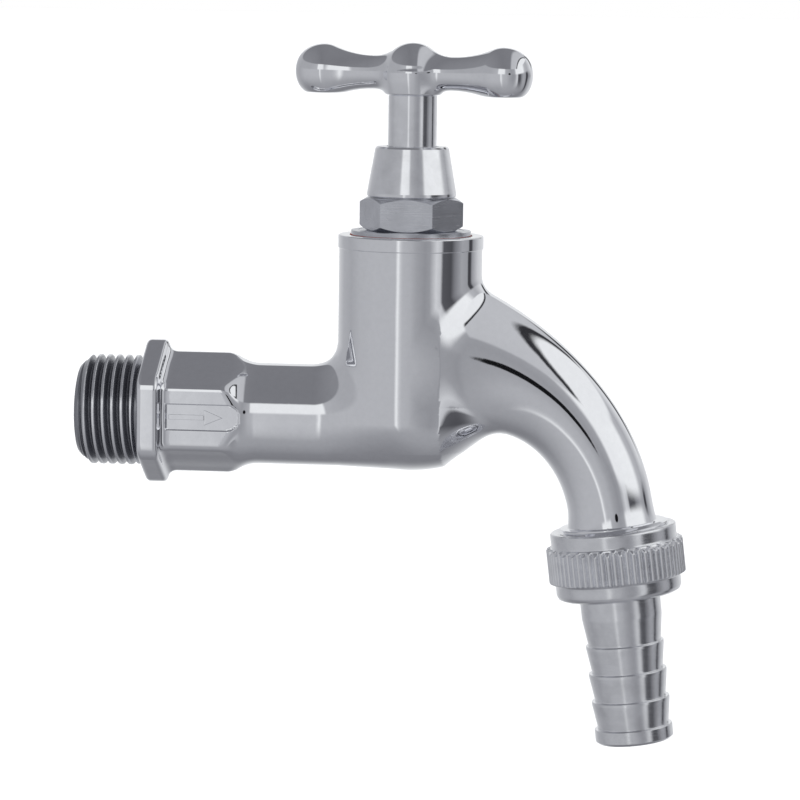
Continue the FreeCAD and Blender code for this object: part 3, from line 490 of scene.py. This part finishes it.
def arm_radius(along):
    """Radius of the handle's bar: hub, hollow, knob and end, as arcs that meet without a kink."""
    hub_hollow = (arm_neck_at ** 2 + arm_neck ** 2 - hub_radius ** 2) / (2 * (hub_radius - arm_neck))
    reach = knob_at - arm_neck_at
    knob_hollow = (reach ** 2 + arm_neck ** 2 - knob_radius ** 2) / (2 * (knob_radius - arm_neck))
    hub_meets = arm_neck_at * hub_radius / (hub_radius + hub_hollow)
    knob_meets = knob_at - reach * knob_radius / (knob_radius + knob_hollow)
    hub = np.sqrt(np.clip(hub_radius ** 2 - along ** 2, 0, None))
    inner = arm_neck + hub_hollow - np.sqrt(np.clip(hub_hollow ** 2 - (along - arm_neck_at) ** 2, 0, None))
    outer = arm_neck + knob_hollow - np.sqrt(np.clip(knob_hollow ** 2 - (along - arm_neck_at) ** 2, 0, None))
    knob = np.sqrt(np.clip(knob_radius ** 2 - (along - knob_at) ** 2, 0, None))
    end = knob_radius * np.sqrt(np.clip(1 - ((along - knob_at) / knob_end) ** 2, 0.03, None))
    return np.select([along < hub_meets, along < arm_neck_at, along < knob_meets, along < knob_at],
                     [hub, inner, outer, knob], end)


def handle_field(points):
    """Round bar, run into an upright skirt, with the grub screw's hole in its back."""
    right, back, z = (points - np.array([spindle_x, 0.0, handle_axis])).T
    x = right * math.cos(handle_turn) + back * math.sin(handle_turn)
    y = back * math.cos(handle_turn) - right * math.sin(handle_turn)
    along = np.minimum(np.abs(x), handle_half)
    radius = arm_radius(along)
    slope = (arm_radius(along + 0.05) - arm_radius(np.abs(along - 0.05))) / 0.1
    bar = (np.hypot(y, z) - radius) / np.hypot(1, slope)
    bar = shared(bar, np.abs(x) - handle_half, 1.6)
    skirt = shared(np.hypot(x, y) - skirt_radius, np.abs(z + 2.5) - (handle_axis - handle_foot - 2.5), 0.35)
    whole = joined(bar, skirt, 2.2)
    whole = shared(whole, handle_foot - handle_axis - z, 0.35)
    return shared(whole, -np.maximum(np.hypot(x, z) - grub_radius, 2.9 - y), 0.3)


# ---------------------------------------------------------------- materials

def new_material(name):
    material = bpy.data.materials.new(name)
    material.use_nodes = True
    tree = material.node_tree
    return material, tree, tree.nodes["Principled BSDF"]


def link(tree, start, end):
    tree.links.new(start, end)


def add_node(tree, kind, **values):
    """A node with its inputs set by name, spaces written as underscores."""
    made = tree.nodes.new(kind)
    for key, number in values.items():
        made.inputs[key.replace("_", " ")].default_value = number
    return made


def sums(tree, operation, first, second):
    made = tree.nodes.new("ShaderNodeMath")
    made.operation = operation
    for socket, given in zip(made.inputs, (first, second)):
        if isinstance(given, (int, float)):
            socket.default_value = given
        elif given is not None:
            link(tree, given, socket)
    return made.outputs[0]


def ramp(tree, source, stops, interpolation="LINEAR"):
    """Colour ramp from (position, colour) stops."""
    made = tree.nodes.new("ShaderNodeValToRGB")
    made.color_ramp.interpolation = interpolation
    elements = made.color_ramp.elements
    while len(elements) < len(stops):
        elements.new(0.5)
    for element, (position, colour) in zip(elements, stops):
        element.position = position
        element.color = (*colour, 1)
    link(tree, source, made.inputs["Fac"])
    return made.outputs["Color"]


def spread(tree, source, low, high):
    """Maps 0..1 onto low..high."""
    made = add_node(tree, "ShaderNodeMapRange", To_Min=low, To_Max=high)
    link(tree, source, made.inputs["Value"])
    return made.outputs["Result"]


def noise(tree, vector, scale, detail=3.0):
    made = add_node(tree, "ShaderNodeTexNoise", Scale=scale, Detail=detail, Roughness=0.55)
    link(tree, vector, made.inputs["Vector"])
    return made.outputs["Fac"]


def stretched(tree, vector, axes_origin, turn, scale):
    """Object coordinates moved to an axis, turned upright and scaled, for marks that follow a tool."""
    made = tree.nodes.new("ShaderNodeMapping")
    made.vector_type = "TEXTURE"
    made.inputs["Location"].default_value = axes_origin
    made.inputs["Rotation"].default_value = turn
    made.inputs["Scale"].default_value = scale
    link(tree, vector, made.inputs["Vector"])
    return made.outputs["Vector"]


def height_bump(tree, shader, layers):
    """Bumps one over another, from (height, strength, distance) layers, onto the shader's normal."""
    normal = None
    for height, strength, distance in layers:
        made = add_node(tree, "ShaderNodeBump", Strength=strength, Distance=distance)
        link(tree, height, made.inputs["Height"])
        if normal is not None:
            link(tree, normal, made.inputs["Normal"])
        normal = made.outputs["Normal"]
    link(tree, normal, shader.inputs["Normal"])


def polished_chrome(name, tone, wave=0.14):
    """Plating over a hand-polished casting: mirror bright, gently wavy, with faint buffing haze."""
    material, tree, shader = new_material(name)
    place = tree.nodes.new("ShaderNodeTexCoord").outputs["Object"]
    shader.inputs["Metallic"].default_value = 1.0
    haze = noise(tree, place, 900.0, 4.0)
    broad = noise(tree, place, 55.0, 2.0)
    link(tree, ramp(tree, haze, [(0.3, [value * 0.96 for value in tone]), (0.75, tone)]),
         shader.inputs["Base Color"])
    link(tree, spread(tree, haze, 0.02, 0.06), shader.inputs["Roughness"])
    height_bump(tree, shader, [(broad, wave, 0.0006), (noise(tree, place, 420.0), 0.04, 0.0001)])
    return material


def turned_metal(name, tone, origin, lean, rough, marks=0.25):
    """Satin plating over fine turning marks: rings along the piece's own axis, and small stains."""
    material, tree, shader = new_material(name)
    place = tree.nodes.new("ShaderNodeTexCoord").outputs["Object"]
    shader.inputs["Metallic"].default_value = 1.0
    rings = noise(tree, stretched(tree, place, origin, (0, lean, 0), (0.4, 0.4, 0.01)), 45.0, 5.0)
    stain = noise(tree, place, 260.0, 4.0)
    link(tree, ramp(tree, stain, [(0.25, [value * 0.86 for value in tone]), (0.6, tone)]),
         shader.inputs["Base Color"])
    link(tree, spread(tree, rings, rough - 0.07, rough + 0.09), shader.inputs["Roughness"])
    height_bump(tree, shader, [(rings, marks, 0.00006), (stain, 0.12, 0.00005)])
    return material


def thread_with_painted_shade(name, root_shade_tone, crest_tone):
    """Cut thread along the X axis: its tone rises from the root's radius to the crests', so the darker roots
    are painted shade in the grooves.
    """
    material, tree, shader = new_material(name)
    place = tree.nodes.new("ShaderNodeTexCoord").outputs["Object"]
    shader.inputs["Metallic"].default_value = 1.0
    split = tree.nodes.new("ShaderNodeSeparateXYZ")
    link(tree, place, split.inputs["Vector"])
    squares = [sums(tree, "MULTIPLY", split.outputs[axis], split.outputs[axis]) for axis in "YZ"]
    radius = sums(tree, "SQRT", sums(tree, "ADD", *squares), None)
    depth = add_node(tree, "ShaderNodeMapRange", From_Min=(thread_radius - thread_depth) * MM,
                     From_Max=thread_radius * MM)
    link(tree, radius, depth.inputs["Value"])
    # painted shade: the base colour is darkened in the thread's roots, where shade falls
    link(tree, ramp(tree, depth.outputs["Result"], [(0.0, root_shade_tone), (0.7, root_shade_tone), (1.0, crest_tone)]),
         shader.inputs["Base Color"])
    link(tree, spread(tree, noise(tree, place, 500.0), 0.18, 0.34), shader.inputs["Roughness"])
    return material


def plain_metal(name, tone, rough):
    """Machined metal inside the valve, with a light grain."""
    material, tree, shader = new_material(name)
    place = tree.nodes.new("ShaderNodeTexCoord").outputs["Object"]
    shader.inputs["Metallic"].default_value = 1.0
    grain = noise(tree, place, 700.0, 5.0)
    link(tree, ramp(tree, grain, [(0.3, [value * 0.8 for value in tone]), (0.7, tone)]),
         shader.inputs["Base Color"])
    link(tree, spread(tree, grain, rough - 0.08, rough + 0.1), shader.inputs["Roughness"])
    height_bump(tree, shader, [(grain, 0.15, 0.00005)])
    return material


def soft_material(name, tone, rough, scale, depth):
    """Rubber, fibre and packing: dull, with a mottled grain."""
    material, tree, shader = new_material(name)
    place = tree.nodes.new("ShaderNodeTexCoord").outputs["Object"]
    grain = noise(tree, place, scale, 6.0)
    link(tree, ramp(tree, grain, [(0.3, [value * 0.7 for value in tone]), (0.7, tone)]),
         shader.inputs["Base Color"])
    link(tree, spread(tree, grain, rough - 0.1, rough + 0.1), shader.inputs["Roughness"])
    height_bump(tree, shader, [(grain, 0.4, depth)])
    return material


chrome_tone = (0.95, 0.955, 0.98)
nickel_tone = (0.90, 0.905, 0.93)
outlet_place = tuple(outlet_origin * MM)
spindle_place = (spindle_x * MM, 0, 0)
finishes = {
    "polished_chrome": polished_chrome("polished_chrome", chrome_tone),
    "turned_chrome": turned_metal("turned_chrome", chrome_tone, spindle_place, 0.0, 0.09, 0.08),
    "satin_hexagon": turned_metal("satin_hexagon", (0.68, 0.69, 0.73), spindle_place, 0.0, 0.24, 0.45),
    # the thread's darker root tone is painted shade in its grooves
    "thread_painted_shade": thread_with_painted_shade("thread_painted_shade", (0.36, 0.365, 0.39), (0.90, 0.905, 0.93)),
    "satin_nickel": turned_metal("satin_nickel", nickel_tone, outlet_place, math.pi - tilt, 0.15, 0.25),
    "raw_brass": plain_metal("raw_brass", (0.72, 0.53, 0.25), 0.32),
    "steel": plain_metal("steel", (0.42, 0.43, 0.45), 0.35),
    "fibre": soft_material("red_fibre", (0.30, 0.07, 0.04), 0.75, 900.0, 0.0001),
    "black_rubber": soft_material("black_rubber", (0.03, 0.03, 0.033), 0.65, 1500.0, 0.00005),
    "graphite_packing": soft_material("graphite_packing", (0.07, 0.07, 0.075), 0.8, 1100.0, 0.0002),
}

shown_as_made = {
    "bonnet": "satin_hexagon", "gland_cap": "turned_chrome", "spindle": "turned_chrome",
    "bonnet_gasket": "fibre", "tail_washer": "black_rubber", "seat_washer": "black_rubber",
    "handle_screw": "steel", "jumper_clip": "steel", "washer_retainer": "raw_brass",
    "washer_nut": "raw_brass", "jumper": "raw_brass", "packing_washer": "raw_brass",
    "gland_follower": "raw_brass", "packing_ring_lower": "graphite_packing",
    "packing_ring_middle": "graphite_packing", "packing_ring_upper": "graphite_packing",
}
for node, finish in shown_as_made.items():
    solid = frame["nodes"][node]
    solid.data.materials.clear()
    solid.data.materials.append(finishes[finish])


# ---------------------------------------------------------------- casting

chrome = finishes["polished_chrome"]
casting = level_surface(
    "casting", casting_field,
    (spaced((-0.6, 24, 0.35), (24, body_high[0] + 2, 0.58)),
     spaced((-14.6, -10.8, 0.52), (-10.8, -9.2, 0.2), (-9.2, 14.8, 0.52)),
     spaced((outlet_origin[2] - 3, -3.4, 0.52), (-3.4, 3.4, 0.24), (3.4, barrel_top + 0.6, 0.52))),
    chrome, "housing")
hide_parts("valve_body")

arrow = level_surface(
    "flow_arrow", arrow_field,
    (spaced((arrow_middle - 5.8, arrow_middle + 5.8, 0.12)),
     spaced((-section_flats / 2 - 0.2, -section_flats / 2 + 0.85, 0.07)), spaced((-1.9, 1.9, 0.09))),
    chrome, "housing")
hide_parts("valve_body")

collar_foot = barrel_top - collar_height
gasket_seat = 11.6
collar = turned(
    "barrel_collar",
    [(gasket_seat, barrel_top - 2), (barrel_radius - 0.3, collar_foot), (collar_radius, collar_foot),
     (collar_radius, barrel_top - 0.1), (collar_radius - 0.5, barrel_top), (gasket_seat, barrel_top)],
    0.35, spindle_frame, spindle_foot, chrome, "housing", 192)
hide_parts("valve_body")

root = thread_radius - thread_depth
nose = 1.0
spigot = along_outline(
    [(root, -1.2), (root, 0.9), (thread_radius, 1.3), (thread_radius, -spigot_end - nose - 1.1),
     (root - 0.1, -spigot_end - nose + 0.1), (root - 0.1, -spigot_end - 0.7), (root - 0.8, -spigot_end),
     (inlet_bore + 0.3, -spigot_end), (inlet_bore, -spigot_end - 0.3), (inlet_bore, -1.2)],
    [0.5, 0.06, 0.06, 0.06, 0.1, 0.12, 0.2, 0.15, 1.2, 0.5])
inlet = carved("inlet_spigot", spigot, thread_shape(thread_radius, root - 0.1, 0.95 + thread_pitch / 2, 0.42),
               168, inlet_frame, np.zeros(3), finishes["thread_painted_shade"], "housing")
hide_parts("valve_body")

stub = along_outline(
    [(spout_end_radius - 0.6, -1.6), (spout_end_radius, -1.2), (spout_end_radius + 0.5, -0.75),
     (thread_radius - 0.25, -0.6), (thread_radius, -0.35), (thread_radius, 0.1), (root + 0.2, 0.3),
     (root + 0.2, 1.2), (thread_radius, 2.0), (thread_radius, outlet_length - 0.8),
     (root + 0.4, outlet_length), (spout_bore, outlet_length), (spout_bore, -1.6)],
    [0.2, 0.15, 0.2, 0.1, 0.12, 0.1, 0.2, 0.1, 0.08, 0.1, 0.4, 1.2, 0.5])
outlet = carved("outlet_stub", stub, thread_shape(thread_radius, root + 0.2, 0.75 + thread_pitch / 2, 0.42),
                144, outlet_frame, outlet_origin, chrome, "housing")
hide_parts("valve_body")


# ---------------------------------------------------------------- handle, nut and tail

handle = level_surface(
    "t_handle", handle_field,
    (spaced((handle_low[0] - 0.7, handle_high[0] + 1, 0.3)),
     spaced((handle_low[1] - 0.9, handle_high[1] + 0.9, 0.27)),
     spaced((handle_axis - hub_radius - 0.6, handle_high[2] + 0.9, 0.27))),
    chrome, "spindle")
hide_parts("handle")

tap_radius = thread_radius + 0.17
nut_outline = along_outline(
    [(tap_radius - 0.88, 0.6), (tap_radius + 0.1, 0), (nut_top_radius - 0.3, 0), (nut_top_radius, 0.25),
     (nut_top_radius, band_start), (nut_top_radius + 0.25, band_start + 0.05),
     (band_radius, band_start + 0.4), (band_radius, band_end - 0.5),
     (nut_foot_radius, band_end + 0.05), (nut_foot_radius, nut_length - 1.1),
     (nut_foot_radius - 0.3, nut_length - 0.4), (nut_foot_radius - 1.1, nut_length),
     (tail_neck + 0.15, nut_length), (tail_neck + 0.15, nut_length - 1.6),
     (9.9, nut_length - 1.6), (9.9, outlet_length + 0.4),
     (tap_radius - 0.88, outlet_length + 0.2)],
    [0.4, 0.6, 0.12, 0.5, 0.1, 0.1, 0.22, 0.15, 0.6, 0.25, 0.25, 0.7, 0.6, 0.8, 0.8, 0.8, 0.8])


def grip_band(radius, height, angle):
    """Straight bars round the band, every other one starting lower: each bar's height falls off as a
    rounded hump across it, and eases in and out along the nut."""
    share = angle * ridge_count / (2 * math.pi)
    hump = np.clip(1 - (np.abs(share - np.round(share)) / 0.4) ** 2, 0, None) ** 0.5
    late = 0.55 * (np.round(share) % 2)
    rise = np.clip((height - band_start - late) / 0.35, 0, 1) * np.clip((band_end - height) / 0.5, 0, 1)
    outside = radius > nut_top_radius + 0.2
    return radius + np.where(outside, ridge_depth * hump * rise, 0 * hump)


nut = carved("knurled_nut", nut_outline, grip_band, ridge_count * 10, outlet_frame, outlet_origin,
             finishes["satin_nickel"], "union_nut")
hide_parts("union_nut")

washer_end = outlet_length + 1.5
collar_end = washer_end + 1.45
tail_end = barb_start + 3 * barb_pitch + 2.8
tail_corners = [(tail_bore, washer_end), (9.4, washer_end), (9.4, collar_end), (tail_neck, collar_end),
                (tail_neck, nut_length + 4), (6.95, barb_start - 0.4), (6.95, barb_start)]
for barb in range(3):
    barb_top = barb_start + barb_pitch * barb
    tail_corners += [(barb_crest, barb_top), (barb_crest, barb_top + 0.6),
                     (barb_valley, barb_top + barb_pitch - 0.3), (barb_valley, barb_top + barb_pitch)]
bead_start = barb_start + 3 * barb_pitch
tail_corners += [(barb_crest, bead_start), (barb_crest, tail_end - 0.5), (barb_crest - 0.6, tail_end),
                 (tail_bore + 0.3, tail_end), (tail_bore, tail_end - 0.3)]
tail = turned("barbed_tail", tail_corners, 0.16, outlet_frame, outlet_origin,
              finishes["satin_nickel"], "tail", 160)
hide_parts("hose_tail")


# ---------------------------------------------------------------- studio

def stage_floor():
    """Pale floor well below the tap, which hangs from its wall thread."""
    size, depth = 30.0, 0.3
    mesh = bpy.data.meshes.new("floor")
    corners = ((-size, -size), (size, -size), (size, size), (-size, size))
    mesh.from_pydata([(x, y, -depth) for x, y in corners], [], [(0, 1, 2, 3)])
    material, tree, shader = new_material("pale_floor")
    shader.inputs["Base Color"].default_value = (0.93, 0.93, 0.935, 1)
    shader.inputs["Roughness"].default_value = 0.9
    shader.inputs["Specular IOR Level"].default_value = 0.1
    mesh.materials.append(material)
    floor = bpy.data.objects.new("floor", mesh)
    bpy.context.scene.collection.objects.link(floor)
    floor.visible_glossy = False


camera_turn = math.radians(6.5)
camera_rise = math.radians(6.5)
camera_roll = math.radians(0.8)


def tone(level, tint=1.0):
    """A grey of the given screen level as light, a little blue in the darker tones."""
    light = ((level + 0.055) / 1.055) ** 2.4
    blue = 1 + 0.16 * tint * (1 - level)
    return (light * 0.985, light, light * blue)


def studio_world():
    """Soft boxes and dark cards round the tap, as a function of direction.

    Azimuth 0 is the camera's side and positive is to its right; one ramp runs round the horizon, one
    a little above it, and plain tones lie above and below. Seen straight on, the backdrop is white.
    """
    world = bpy.data.worlds.new("studio")
    bpy.context.scene.world = world
    world.use_nodes = True
    tree = world.node_tree
    direction = tree.nodes.new("ShaderNodeTexCoord").outputs["Generated"]
    turn = tree.nodes.new("ShaderNodeVectorRotate")
    turn.rotation_type = "Z_AXIS"
    turn.inputs["Angle"].default_value = -camera_turn
    link(tree, direction, turn.inputs["Vector"])
    split = tree.nodes.new("ShaderNodeSeparateXYZ")
    link(tree, turn.outputs["Vector"], split.inputs["Vector"])
    forward = sums(tree, "MULTIPLY", split.outputs["Y"], -1.0)
    azimuth = sums(tree, "ARCTAN2", split.outputs["X"], forward)
    round_share = sums(tree, "MULTIPLY_ADD", azimuth, 1 / (2 * math.pi))
    tree.nodes[-1].inputs[2].default_value = 0.5
    height = sums(tree, "MULTIPLY_ADD", sums(tree, "ARCSINE", split.outputs["Z"], None), 1 / math.pi)
    tree.nodes[-1].inputs[2].default_value = 0.5

    def stops(pairs):
        return [(degrees / 360 + 0.5, tone(level)) for degrees, level in pairs]

    horizon = ramp(tree, round_share, stops([
        (-180, 0.92), (-158, 0.80), (-135, 0.69), (-110, 0.655), (-88, 0.70), (-60, 0.715), (-24, 0.715),
        (-20, 0.94), (-16, 0.77), (-12, 0.71), (0, 0.69), (10, 0.63), (23, 0.58), (31, 0.61),
        (42, 0.82), (49, 0.76),
        (53, 0.34), (68, 0.30), (75, 0.48), (90, 0.64), (104, 0.61), (107, 0.25), (113, 0.27),
        (117, 0.58), (138, 0.80), (180, 0.92)]))
    above = ramp(tree, round_share, stops([
        (-180, 0.92), (-150, 0.72), (-110, 0.66), (-60, 0.66), (-32, 0.70), (-28, 0.94), (-8, 0.92),
        (-4, 0.68), (18, 0.60), (30, 0.64), (36, 0.93), (88, 0.95), (100, 0.72), (115, 0.68),
        (135, 0.85), (143, 0.88), (147, 0.2), (153, 0.2), (157, 0.9), (180, 0.92)]))
    back_share = sums(tree, "MULTIPLY_ADD", split.outputs["Y"], 0.5)
    tree.nodes[-1].inputs[2].default_value = 0.5
    below = ramp(tree, back_share, [(0.0, tone(0.66)), (0.35, tone(0.61)),
                                    (0.6, tone(0.52)), (1.0, tone(0.46))])
    side_share = sums(tree, "MULTIPLY_ADD", split.outputs["X"], 0.5)
    tree.nodes[-1].inputs[2].default_value = 0.5
    ceiling = ramp(tree, side_share, [(0.0, tone(0.55)), (0.40, tone(0.48)), (0.60, tone(0.50)),
                                      (0.64, tone(0.74)), (0.775, tone(0.76)), (0.785, tone(0.2)),
                                      (0.80, tone(0.2)), (0.815, tone(0.93)), (1.0, tone(0.93))])

    def mixed(first, second, low, high):
        """first below the elevation low, second above high, in degrees."""
        made = tree.nodes.new("ShaderNodeMix")
        made.data_type = "RGBA"
        share = add_node(tree, "ShaderNodeMapRange", From_Min=low / 180 + 0.5, From_Max=high / 180 + 0.5)
        share.interpolation_type = "SMOOTHSTEP"
        link(tree, height, share.inputs["Value"])
        link(tree, share.outputs["Result"], made.inputs["Factor"])
        link(tree, first, made.inputs[6])
        link(tree, second, made.inputs[7])
        return made.outputs[2]

    seen = mixed(mixed(mixed(below, horizon, -60, -12), above, 3, 9), ceiling, 26, 30)
    card_turn, card_rise = math.radians(10), math.radians(7)
    towards = tree.nodes.new("ShaderNodeVectorMath")
    towards.operation = "DOT_PRODUCT"
    towards.inputs[1].default_value = (math.sin(card_turn) * math.cos(card_rise),
                                       -math.cos(card_turn) * math.cos(card_rise), math.sin(card_rise))
    link(tree, turn.outputs["Vector"], towards.inputs[0])
    dark = add_node(tree, "ShaderNodeMapRange", From_Min=math.cos(math.radians(4.6)),
                    From_Max=math.cos(math.radians(3.6)))
    link(tree, towards.outputs["Value"], dark.inputs["Value"])
    spot = tree.nodes.new("ShaderNodeMix")
    spot.data_type = "RGBA"
    link(tree, dark.outputs["Result"], spot.inputs["Factor"])
    link(tree, seen, spot.inputs[6])
    spot.inputs[7].default_value = (*tone(0.08), 1)
    seen = spot.outputs[2]
    lit = tree.nodes["Background"]
    link(tree, seen, lit.inputs["Color"])
    backdrop = tree.nodes.new("ShaderNodeBackground")
    backdrop.inputs["Color"].default_value = (1, 1, 1, 1)
    rays = tree.nodes.new("ShaderNodeLightPath")
    choice = tree.nodes.new("ShaderNodeMixShader")
    link(tree, rays.outputs["Is Camera Ray"], choice.inputs[0])
    link(tree, lit.outputs[0], choice.inputs[1])
    link(tree, backdrop.outputs[0], choice.inputs[2])
    link(tree, choice.outputs[0], tree.nodes["World Output"].inputs["Surface"])


def overhead_light():
    """Broad overhead light that brings the floor up to white; the metal doesn't mirror it."""
    light = bpy.data.lights.new("overhead", "SUN")
    light.energy = 2.9
    light.angle = math.radians(60)
    lamp = bpy.data.objects.new("overhead", light)
    lamp.rotation_euler = (math.radians(18), math.radians(-12), 0)
    lamp.visible_glossy = False
    bpy.context.scene.collection.objects.link(lamp)


def studio_camera():
    """Long lens, a little to the outlet's side and a little above, tipped slightly clockwise."""
    distance, focal_share = 720.0, 4.75
    target = Vector((48.5, 0.0, 3.2))
    back = Vector((math.sin(camera_turn) * math.cos(camera_rise),
                   -math.cos(camera_turn) * math.cos(camera_rise), math.sin(camera_rise)))
    right = Vector((math.cos(camera_turn), math.sin(camera_turn), 0))
    up = back.cross(right)
    tipped_right = right * math.cos(camera_roll) + up * math.sin(camera_roll)
    tipped_up = up * math.cos(camera_roll) - right * math.sin(camera_roll)
    lens = bpy.data.cameras.new("camera")
    lens.sensor_width = 36.0
    lens.lens = 36.0 * focal_share
    lens.clip_start, lens.clip_end = 0.01, 100.0
    camera = bpy.data.objects.new("camera", lens)
    turn = Matrix((tipped_right, tipped_up, back)).transposed()
    camera.matrix_world = Matrix.Translation((target + back * distance) * MM) @ turn.to_4x4()
    bpy.context.scene.collection.objects.link(camera)
    bpy.context.scene.camera = camera


stage_floor()
studio_world()
overhead_light()
studio_camera()
bpy.context.scene.view_settings.view_transform = "Standard"
